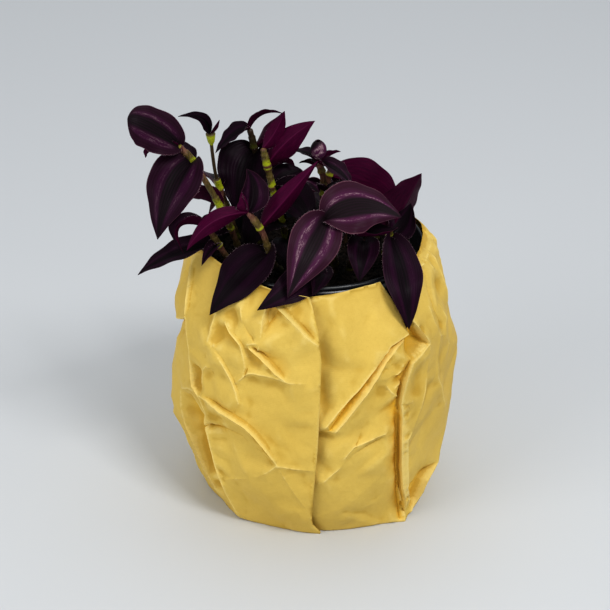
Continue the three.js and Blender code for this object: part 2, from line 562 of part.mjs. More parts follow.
function leafGeometry(spec, base) {
  const size = spec.width > BROAD ? "broad" : "small";
  const rows = LEAF_ROWS[size];
  const half = LEAF_HALF_COLUMNS[size];
  const columns = 2 * half + 1;
  const step = 0.01;
  const upper = [];
  const lower = [];
  for (let i = 0; i <= rows; i++) {
    for (let j = 0; j < columns; j++) {
      const t = i / rows;
      const x = j / half - 1;
      const middle = leafPoint(spec, base, t, x);
      const ahead = leafPoint(spec, base, Math.min(t + step, 1), x);
      const behind = leafPoint(spec, base, Math.max(t - step, 0), x);
      const lengthwise = ahead.sub(behind);
      const crosswise = leafPoint(spec, base, t, x + step).sub(leafPoint(spec, base, t, x - step));
      const normal = crosswise.cross(lengthwise).normalize().multiplyScalar(LEAF_THICKNESS / 2);
      upper.push(middle.clone().add(normal));
      lower.push(middle.clone().sub(normal));
    }
  }
  const n = upper.length;
  const at = (i, j) => i * columns + j;
  const faces = [];
  for (let i = 0; i < rows; i++) {
    for (let j = 0; j < columns - 1; j++) {
      const [a, b, c, d] = [at(i, j), at(i, j + 1), at(i + 1, j + 1), at(i + 1, j)];
      const halves = j < half ? [[a, b, c], [a, c, d]] : [[a, b, d], [b, c, d]];
      for (const [p, q, r] of halves) faces.push([p, q, r], [p + n, r + n, q + n]);
    }
  }
  const rim = [];
  for (let j = 0; j < columns - 1; j++) rim.push(at(0, j));
  for (let i = 0; i < rows; i++) rim.push(at(i, columns - 1));
  for (let j = columns - 1; j > 0; j--) rim.push(at(rows, j));
  for (let i = rows; i > 0; i--) rim.push(at(i, 0));
  rim.forEach((a, k) => {
    const b = rim[(k + 1) % rim.length];
    faces.push([b, a, a + n], [b, a + n, b + n]);
  });
  return geometryFrom([...upper, ...lower], faces);
}

// A leafy stem: a round stalk with a thicker node under each leaf, and the leaves that grow from it.
function leafyStemGeometry({ path, leaves, bud }) {
  const [[x, y], ...rest] = path;
  const rise = [STEM_FOOT, ...STEM_RISE].map((z) => [x, y, z]);
  const line = new THREE.CatmullRomCurve3([...rise, ...rest].map(vector));
  const section = new THREE.Shape(
    Array.from({ length: STEM_SIDES }, (_, i) => {
      const turn = (i / STEM_SIDES) * 2 * Math.PI;
      return new THREE.Vector2(STEM_RADIUS * Math.cos(turn), STEM_RADIUS * Math.sin(turn));
    }),
  );
  const steps = Math.round(line.getLength() / 12);
  const stalk = new THREE.ExtrudeGeometry(section, { steps, extrudePath: line, bevelEnabled: false });
  let solid = solidOf(stalk);
  const collars = new Set();
  for (const spec of leaves) {
    const base = line.getPointAt(spec.at);
    const collar = Math.round(spec.at * 20);
    if (!collars.has(collar)) {
      const ball = new THREE.SphereGeometry(COLLAR_RADIUS, 6, 3).translate(base.x, base.y, base.z);
      solid = solid.add(solidOf(ball));
      collars.add(collar);
    }
    solid = solid.add(solidOf(leafGeometry(spec, base)));
  }
  if (bud) solid = solid.add(solidOf(new THREE.SphereGeometry(bud.radius, 10, 7).translate(...bud.centre)));
  return geometryOf(solid);
}

// The assembly
const part = new THREE.Group();

function place(name, geometry, material) {
  const mesh = new THREE.Mesh(geometry, material);
  mesh.name = name;
  part.add(mesh);
}

place("nursery_pot", potGeometry(), colours.pot);
place("potting_soil", soilGeometry(LEAFY_STEMS.map((stem) => stem.path[0])), colours.soil);
place("paper_wrap", paperGeometry(), colours.paper);
for (const stem of LEAFY_STEMS) place(stem.name, leafyStemGeometry(stem), colours.leaf);

export default part;
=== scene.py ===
# A potted tradescantia: an inch plant with burgundy leaves in its black nursery pot, wrapped in one
# crumpled sheet of yellow kraft paper. The points below are in millimetres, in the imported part's
# frame, and every mesh is in metres: +Z up, the origin on the pot's axis at the level of the ground.
import math

import bpy
import numpy as np
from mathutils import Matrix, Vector, geometry, noise


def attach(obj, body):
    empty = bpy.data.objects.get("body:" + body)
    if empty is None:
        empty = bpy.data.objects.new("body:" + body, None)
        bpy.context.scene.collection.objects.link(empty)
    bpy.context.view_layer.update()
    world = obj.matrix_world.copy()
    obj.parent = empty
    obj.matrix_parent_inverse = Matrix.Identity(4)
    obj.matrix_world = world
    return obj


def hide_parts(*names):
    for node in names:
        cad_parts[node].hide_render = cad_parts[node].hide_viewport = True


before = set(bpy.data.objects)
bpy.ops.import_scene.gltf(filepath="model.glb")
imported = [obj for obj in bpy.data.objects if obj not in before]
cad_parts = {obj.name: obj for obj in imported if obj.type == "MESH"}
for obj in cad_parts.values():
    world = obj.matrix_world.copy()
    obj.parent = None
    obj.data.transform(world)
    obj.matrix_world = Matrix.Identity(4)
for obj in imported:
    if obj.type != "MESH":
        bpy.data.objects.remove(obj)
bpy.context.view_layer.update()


# ---------------------------------------------------------------------------------- nursery pot
# A thin injection-moulded pot of black polypropylene: a tapered wall, a floor with six drain holes
# and a rolled rim with a bead round it. It only stands inside the paper.

POT_SIDES = 128
POT_PROFILE = [
    (0, 1.3), (20, 1.3), (40, 1.3), (44.6, 1.3), (45.6, 1.8), (46.1, 3.4), (49.4, 38), (53.2, 78),
    (57, 118), (59.6, 145.2), (60.4, 145.9), (61.8, 146.3), (62.3, 146.8), (62.5, 147.6),
    (62.5, 150.4), (62.3, 151.1), (61.7, 151.4), (61.6, 151.8), (62.2, 152.1), (62.5, 152.7),
    (62.45, 153.5), (62, 154.2), (61.3, 154.5), (60.7, 154.3), (60.4, 153.7), (60.2, 152.4),
    (59.6, 150), (58.6, 146.4), (55.8, 118), (52, 78), (48.2, 38), (45, 4.6), (44.4, 3.3), (43, 2.9),
    (20, 2.9), (0, 2.9),
]
DRAIN_HOLES = 6
DRAIN_RADIUS = 4
DRAIN_CIRCLE = 33


def metres(points):
    """Points in millimetres as rows in metres."""
    return np.asarray(points, float) / 1000


def piece(name, points, faces, *materials):
    """A piece with a smooth mesh through these points, in millimetres."""
    mesh = bpy.data.meshes.new(name)
    mesh.from_pydata(metres(points).tolist(), [], [list(map(int, f)) for f in faces])
    mesh.polygons.foreach_set("use_smooth", [True] * len(mesh.polygons))
    for material in materials:
        mesh.materials.append(material)
    mesh.validate()
    made = bpy.data.objects.new(name, mesh)
    bpy.context.scene.collection.objects.link(made)
    return made


def turned(profile, sides):
    """Points and faces of a profile of (radius, height), turned about the pot's axis from pole to pole."""
    turns = np.arange(sides) * 2 * math.pi / sides
    points = [(0, 0, profile[0][1])]
    for radius, height in profile[1:-1]:
        points += [(radius * math.cos(a), radius * math.sin(a), height) for a in turns]
    points.append((0, 0, profile[-1][1]))
    last = len(points) - 1
    rings = len(profile) - 2
    faces = []
    for j in range(sides):
        k = (j + 1) % sides
        faces.append((0, 1 + k, 1 + j))
        for i in range(rings - 1):
            a = 1 + i * sides
            b = a + sides
            faces.append((a + j, a + k, b + k, b + j))
        end = 1 + (rings - 1) * sides
        faces.append((end + j, end + k, last))
    return points, faces


def add(tree, kind, values=None, **settings):
    """A node in the tree. values gives an input, by name or place, a number or another node's output."""
    made = tree.nodes.new(kind)
    for key, value in settings.items():
        setattr(made, key, value)
    for key, value in (values or {}).items():
        if isinstance(value, bpy.types.Node):
            value = value.outputs[0]
        if isinstance(value, bpy.types.NodeSocket):
            tree.links.new(value, made.inputs[key])
        else:
            made.inputs[key].default_value = value
    return made


def new_tree(name, kind, inputs, outputs):
    """A node group, and its input and output nodes. Each of its inputs is (name, type, value)."""
    tree = bpy.data.node_groups.new(name, kind)
    for label, sort, value in inputs:
        socket = tree.interface.new_socket(label, in_out="INPUT", socket_type="NodeSocket" + sort)
        if value is not None:
            socket.default_value = value
    for label, sort in outputs:
        tree.interface.new_socket(label, in_out="OUTPUT", socket_type="NodeSocket" + sort)
    return tree, tree.nodes.new("NodeGroupInput"), tree.nodes.new("NodeGroupOutput")


def grown(made, tree, **sizes):
    """Runs a Geometry Nodes tree on a piece, and keeps what it makes as the piece's own plain mesh."""
    modifier = made.modifiers.new(tree.name, "NODES")
    modifier.node_group = tree
    for item in tree.interface.items_tree:
        if item.item_type == "SOCKET" and item.in_out == "INPUT" and item.name in sizes:
            modifier[item.identifier] = sizes[item.name]
    bpy.context.view_layer.update()
    graph = bpy.context.evaluated_depsgraph_get()
    shown = made.evaluated_get(graph)
    mesh = bpy.data.meshes.new_from_object(shown, preserve_all_data_layers=True, depsgraph=graph)
    made.modifiers.clear()
    made.data = mesh
    return made


def drain_holes():
    """A ring of round holes through the pot's floor."""
    tree, given, out = new_tree(
        "drain_holes",
        "GeometryNodeTree",
        [
            ("Geometry", "Geometry", None), ("Holes", "Int", 6), ("Hole radius", "Float", 0.004),
            ("Circle radius", "Float", 0.03), ("Finish", "Material", None),
        ],
        [("Geometry", "Geometry")],
    )
    ring = add(tree, "GeometryNodeMeshCircle", {"Vertices": given.outputs[1], "Radius": given.outputs[3]})
    drill = add(
        tree, "GeometryNodeMeshCylinder",
        {"Vertices": 24, "Radius": given.outputs[2], "Depth": 0.02},
    )
    drills = add(tree, "GeometryNodeInstanceOnPoints", {"Points": ring, "Instance": drill.outputs[0]})
    solid = add(tree, "GeometryNodeRealizeInstances", {"Geometry": drills})
    cut = add(tree, "GeometryNodeMeshBoolean", operation="DIFFERENCE", solver="EXACT")
    tree.links.new(given.outputs[0], cut.inputs["Mesh 1"])
    tree.links.new(solid.outputs[0], cut.inputs["Mesh 2"])
    finished = add(tree, "GeometryNodeSetMaterial", {"Geometry": cut, "Material": given.outputs[4]})
    tree.links.new(finished.outputs[0], out.inputs[0])
    return tree


def new_material(name, **principled):
    """A material, its tree and its Principled shader with these constant values."""
    material = bpy.data.materials.new(name)
    material.use_nodes = True
    tree = material.node_tree
    shader = next(n for n in tree.nodes if n.type == "BSDF_PRINCIPLED")
    for key, value in principled.items():
        shader.inputs[key.replace("_", " ")].default_value = value
    return material, tree, shader


def cloudy_group():
    """Patches of lighter and darker: a value that drifts between Low and High over the surface."""
    tree, given, out = new_tree(
        "cloudy patches",
        "ShaderNodeTree",
        [
            ("Vector", "Vector", None), ("Scale", "Float", 5.0), ("Detail", "Float", 3.0),
            ("Low", "Float", 0.0), ("High", "Float", 1.0),
        ],
        [("Value", "Float")],
    )
    cloud = add(
        tree, "ShaderNodeTexNoise",
        {"Vector": given.outputs[0], "Scale": given.outputs[1], "Detail": given.outputs[2]},
    )
    spread = add(
        tree, "ShaderNodeMapRange",
        {
            "Value": cloud.outputs[0], "From Min": 0.3, "From Max": 0.7,
            "To Min": given.outputs[3], "To Max": given.outputs[4],
        },
    )
    tree.links.new(spread.outputs[0], out.inputs[0])
    return tree


CLOUDY = cloudy_group()


def cloudy(tree, vector, scale, low=0.0, high=1.0, detail=3.0):
    """The cloudy patches placed in a material, with its own values."""
    made = add(tree, "ShaderNodeGroup", node_tree=CLOUDY)
    tree.links.new(vector, made.inputs["Vector"])
    for key, value in (("Scale", scale), ("Detail", detail), ("Low", low), ("High", high)):
        made.inputs[key].default_value = value
    return made.outputs[0]


def mixed(tree, share, first, second):
    """A colour between two others."""
    made = add(tree, "ShaderNodeMix", data_type="RGBA")
    for key, value in ((0, share), (6, first), (7, second)):
        if isinstance(value, bpy.types.NodeSocket):
            tree.links.new(value, made.inputs[key])
        else:
            made.inputs[key].default_value = (*value, 1) if isinstance(value, tuple) else value
    return made.outputs[2]


def worked(tree, operation, *values):
    """The result of a Math node."""
    made = add(tree, "ShaderNodeMath", dict(enumerate(values)), operation=operation)
    return made.outputs[0]


def product(tree, first, second):
    """Two values multiplied."""
    return worked(tree, "MULTIPLY", first, second)


def ramp(tree, value, start, end, low=0.0, high=1.0):
    """A smooth step from low to high as value goes from start to end."""
    places = {"Value": value, "From Min": start, "From Max": end, "To Min": low, "To Max": high}
    return add(tree, "ShaderNodeMapRange", places, interpolation_type="SMOOTHSTEP").outputs[0]


def surfaced(tree, shader, colour, height, strength, depth, **others):
    """Gives a material its colour and its fine relief, and what else is named: roughness, normal."""
    tree.links.new(colour, shader.inputs["Base Color"])
    relief = {"Height": height, "Strength": strength, "Distance": depth}
    if "roughness" in others:
        tree.links.new(others["roughness"], shader.inputs["Roughness"])
    if "normal" in others:
        relief["Normal"] = others["normal"]
    bump = add(tree, "ShaderNodeBump", relief)
    tree.links.new(bump.outputs[0], shader.inputs["Normal"])


def polypropylene():
    """Black plastic, semi-gloss and a little uneven."""
    material, tree, shader = new_material("black_polypropylene", Specular_IOR_Level=0.45)
    place = add(tree, "ShaderNodeTexCoord").outputs["Object"]
    tint = cloudy(tree, place, 30.0)
    colour = mixed(tree, tint, (0.006, 0.0065, 0.008), (0.012, 0.0135, 0.017))
    grain = cloudy(tree, place, 1400.0, detail=1.0)
    surfaced(tree, shader, colour, grain, 0.2, 0.0001, roughness=cloudy(tree, place, 90.0, 0.24, 0.42))
    return material


black_plastic = polypropylene()
pot = piece("nursery_pot_shell", *turned(POT_PROFILE, POT_SIDES), black_plastic)
grown(
    pot, drain_holes(), Holes=DRAIN_HOLES, Finish=black_plastic,
    **{"Hole radius": DRAIN_RADIUS / 1000, "Circle radius": DRAIN_CIRCLE / 1000},
)
pot.data.set_sharp_from_angle(angle=math.radians(50))
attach(pot, "root")
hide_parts("nursery_pot")


# ---------------------------------------------------------------------------------- potting soil
# A dark, moist peat mix that fills the pot to 12 mm under its rim, painted darker still for the shade
# under the leaves. Its top is uneven, with crumbs and fibres lying on it.

SOIL_TOP = 142.5
SOIL_SIDES = 72
SOIL_RINGS = 26
SOIL_EDGE = 57.5


def soil_body():
    """The fill of the pot, turned like the pot itself, with an uneven top."""
    rings = [(SOIL_EDGE * i / SOIL_RINGS, SOIL_TOP) for i in range(SOIL_RINGS, -1, -1)]
    points, faces = turned([(0, 3.3), (44, 3.3), (44.4, 4), *rings], SOIL_SIDES)
    bumpy = []
    for x, y, z in points:
        if z == SOIL_TOP:
            spot = Vector((x, y, 0))
            z += 1.5 * noise.noise(spot / 14) + 0.7 * noise.noise(spot / 4.5) - 0.3
        bumpy.append((x, y, z))
    return bumpy, faces


def peat_crumbs():
    """Crumbs of peat, scattered over the soil's top and half sunk in it."""
    tree, given, out = new_tree(
        "peat_crumbs",
        "GeometryNodeTree",
        [
            ("Geometry", "Geometry", None), ("Crumbs per square metre", "Float", 1000.0),
            ("Smallest", "Float", 0.001), ("Largest", "Float", 0.003), ("Seed", "Int", 1),
            ("Finish", "Material", None),
        ],
        [("Geometry", "Geometry")],
    )
    normal = add(tree, "GeometryNodeInputNormal")
    upward = add(tree, "ShaderNodeSeparateXYZ", {0: normal})
    is_top = add(
        tree, "FunctionNodeCompare", {0: upward.outputs[2], 1: 0.5},
        data_type="FLOAT", operation="GREATER_THAN",
    )
    spots = add(
        tree, "GeometryNodeDistributePointsOnFaces",
        {
            "Mesh": given.outputs[0], "Selection": is_top, "Density": given.outputs[1],
            "Seed": given.outputs[4],
        },
    )
    crumb = add(tree, "GeometryNodeMeshIcoSphere", {"Radius": 1.0, "Subdivisions": 1})
    size = add(
        tree, "FunctionNodeRandomValue",
        {2: given.outputs[2], 3: given.outputs[3], "Seed": given.outputs[4]}, data_type="FLOAT",
    )
    stretch = add(tree, "FunctionNodeRandomValue", {"Seed": 5}, data_type="FLOAT_VECTOR")
    stretch.inputs[0].default_value = (0.5, 0.5, 0.35)
    stretch.inputs[1].default_value = (1.3, 0.9, 0.8)
    scale = add(tree, "ShaderNodeVectorMath", {0: stretch.outputs[0]}, operation="SCALE")
    tree.links.new(size.outputs[1], scale.inputs["Scale"])
    turn = add(tree, "FunctionNodeRandomValue", {"Seed": 9}, data_type="FLOAT_VECTOR")
    turn.inputs[1].default_value = (6.28, 6.28, 6.28)
    rotation = add(tree, "FunctionNodeEulerToRotation", {0: turn.outputs[0]})
    crumbs = add(
        tree, "GeometryNodeInstanceOnPoints",
        {
            "Points": spots.outputs[0], "Instance": crumb.outputs[0],
            "Rotation": rotation, "Scale": scale.outputs[0],
        },
    )
    loose = add(tree, "GeometryNodeRealizeInstances", {"Geometry": crumbs})
    both = add(tree, "GeometryNodeJoinGeometry")
    tree.links.new(loose.outputs[0], both.inputs[0])
    tree.links.new(given.outputs[0], both.inputs[0])
    finished = add(tree, "GeometryNodeSetMaterial", {"Geometry": both, "Material": given.outputs[5]})
    tree.links.new(finished.outputs[0], out.inputs[0])
    return tree


def peat():
    """Dark peat with paler fibres, painted darker still for the shade it lies in under the leaves."""
    material, tree, shader = new_material("moist_peat", Roughness=0.9, Specular_IOR_Level=0.2)
    place = add(tree, "ShaderNodeTexCoord").outputs["Object"]
    coarse = cloudy(tree, place, 160.0)
    fine = cloudy(tree, place, 900.0)
    # The peat's own dark brown, painted darker still for the shade it lies in.
    dark = mixed(tree, coarse, (0.003, 0.002, 0.0015), (0.012, 0.007, 0.0045))
    colour = mixed(tree, worked(tree, "POWER", fine, 4.0), dark, (0.04, 0.026, 0.016))
    surfaced(tree, shader, colour, fine, 0.8, 0.0006)
    return material


peat_finish = peat()
soil = piece("potting_soil_fill", *soil_body(), peat_finish)
grown(
    soil, peat_crumbs(), Smallest=0.0007, Largest=0.0022, Seed=3, Finish=peat_finish,
    **{"Crumbs per square metre": 150000.0},
)
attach(soil, "root")
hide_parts("potting_soil")


# ---------------------------------------------------------------------------------- paper wrap
# One sheet of matt yellow kraft paper with fine laid ribs, wound once round the pot so that its
# outer edge laps over its inner edge at the front, crumpled, and turned under the pot.
# A point of the sheet is (angle in degrees, height, offset from the barrel).

SHEET_SCALE = 1.35  # millimetres of paper to a degree
SHEET_SIZE = (520.0, 160.0)
PAPER_THICK = 0.25
BARREL = [
    (-20, 54), (0, 64), (12, 70), (30, 76), (55, 80), (85, 81.5), (108, 80), (126, 77.8), (141, 73.2),
    (149, 69), (153.5, 66.2), (158, 65.4), (180, 64),
]
LEFT_SIDE = 187
LEFT_FLAT = 3.6
NECK = 150

SHEET_EDGE = [
    # inner edge, upwards
    (-110, 0, -4), (-110, 45, -4), (-110, 95, -4), (-110, 151, -0.9),
    # top edge at the front, down into the notch at the right and up again
    (-100, 151.5, -0.9), (-92, 151.4, -0.8), (-84, 152.4, -0.6), (-69, 154, -0.8), (-58, 154.8, -0.4),
    (-55, 147, 1), (-52.5, 137, 1.6), (-50.4, 127.6, 1.6), (-48.6, 124.6, -2.8), (-46.9, 127.5, -2),
    (-47.6, 133, 3), (-45.4, 141, 1.6), (-42.4, 148.5, -0.4), (-38, 153.5, -2),
    # top edge over the rim at the right, round the back and the left
    (-32, 155.6, -2.6), (-24.6, 157, -3.6), (-14, 157.6, -4.2), (-3, 157.6, -4.2), (9, 156.6, -3.4),
    (20, 154.4, -1.4), (30, 152.4, 0.4), (40, 151, 0.3),
    (56, 152.5, 1.8), (74, 153, 0.2), (90, 153.5, 2), (106, 152.5, 0.3), (124, 154, 1.6), (140, 154, 0.2),
    (155, 154.5, 1.2), (170, 154.5, 0.2), (184, 155, 1), (198, 156.4, -1.2), (210, 157.4, -2.4),
    (224, 157, -2.4), (238, 155.4, -1.4), (250, 153.6, -0.2), (260, 153, 0.8),
    # outer edge, downwards
    (268, 152, 1.4), (269.3, 147, 1.5), (271.6, 136, 1.6), (272.7, 119, 2), (272.1, 94.6, 2.4),
    (271.3, 66, 2.2), (269.8, 34, 1.4), (269.2, 15, 0.8), (269.6, 9, 1.2), (273.4, 1.5, 2), (273.2, 0, 2),
    # foot, back round to the inner edge
    (258, 0, -0.6), (250, 0, -1.1), (243, 0, -0.9), (235, 0, 0.4), (227, 0, 0.6), (219, 0, -0.8),
    (211, 0, -2.4), (199, 0, -1.7), (190, 0, 0.2), (183, 0, 1.6), (171, 0, -1.2), (158, 0, 1.4),
    (146, 0, -1), (131, 0, 1.2), (118, 0, -1.6), (104, 0, 1), (90, 0, -0.8), (76, 0, 1.6),
    (61, 0, -1.2), (47, 0, 0.8),
    (33, 0, -1.4), (20, 0, 1.6), (6, 0, 0), (-8, 0, 2), (-18, 0, 2.5), (-28, 0, 3.9), (-37, 0, 5.5),
    (-41, 0, 7.6), (-45.5, 0, 10), (-50, 0, 6.4), (-57, 0, 3.2), (-66, 0, 1), (-76, 0, -0.2), (-84, 0, -1),
    (-90, 0, -2.4),
]

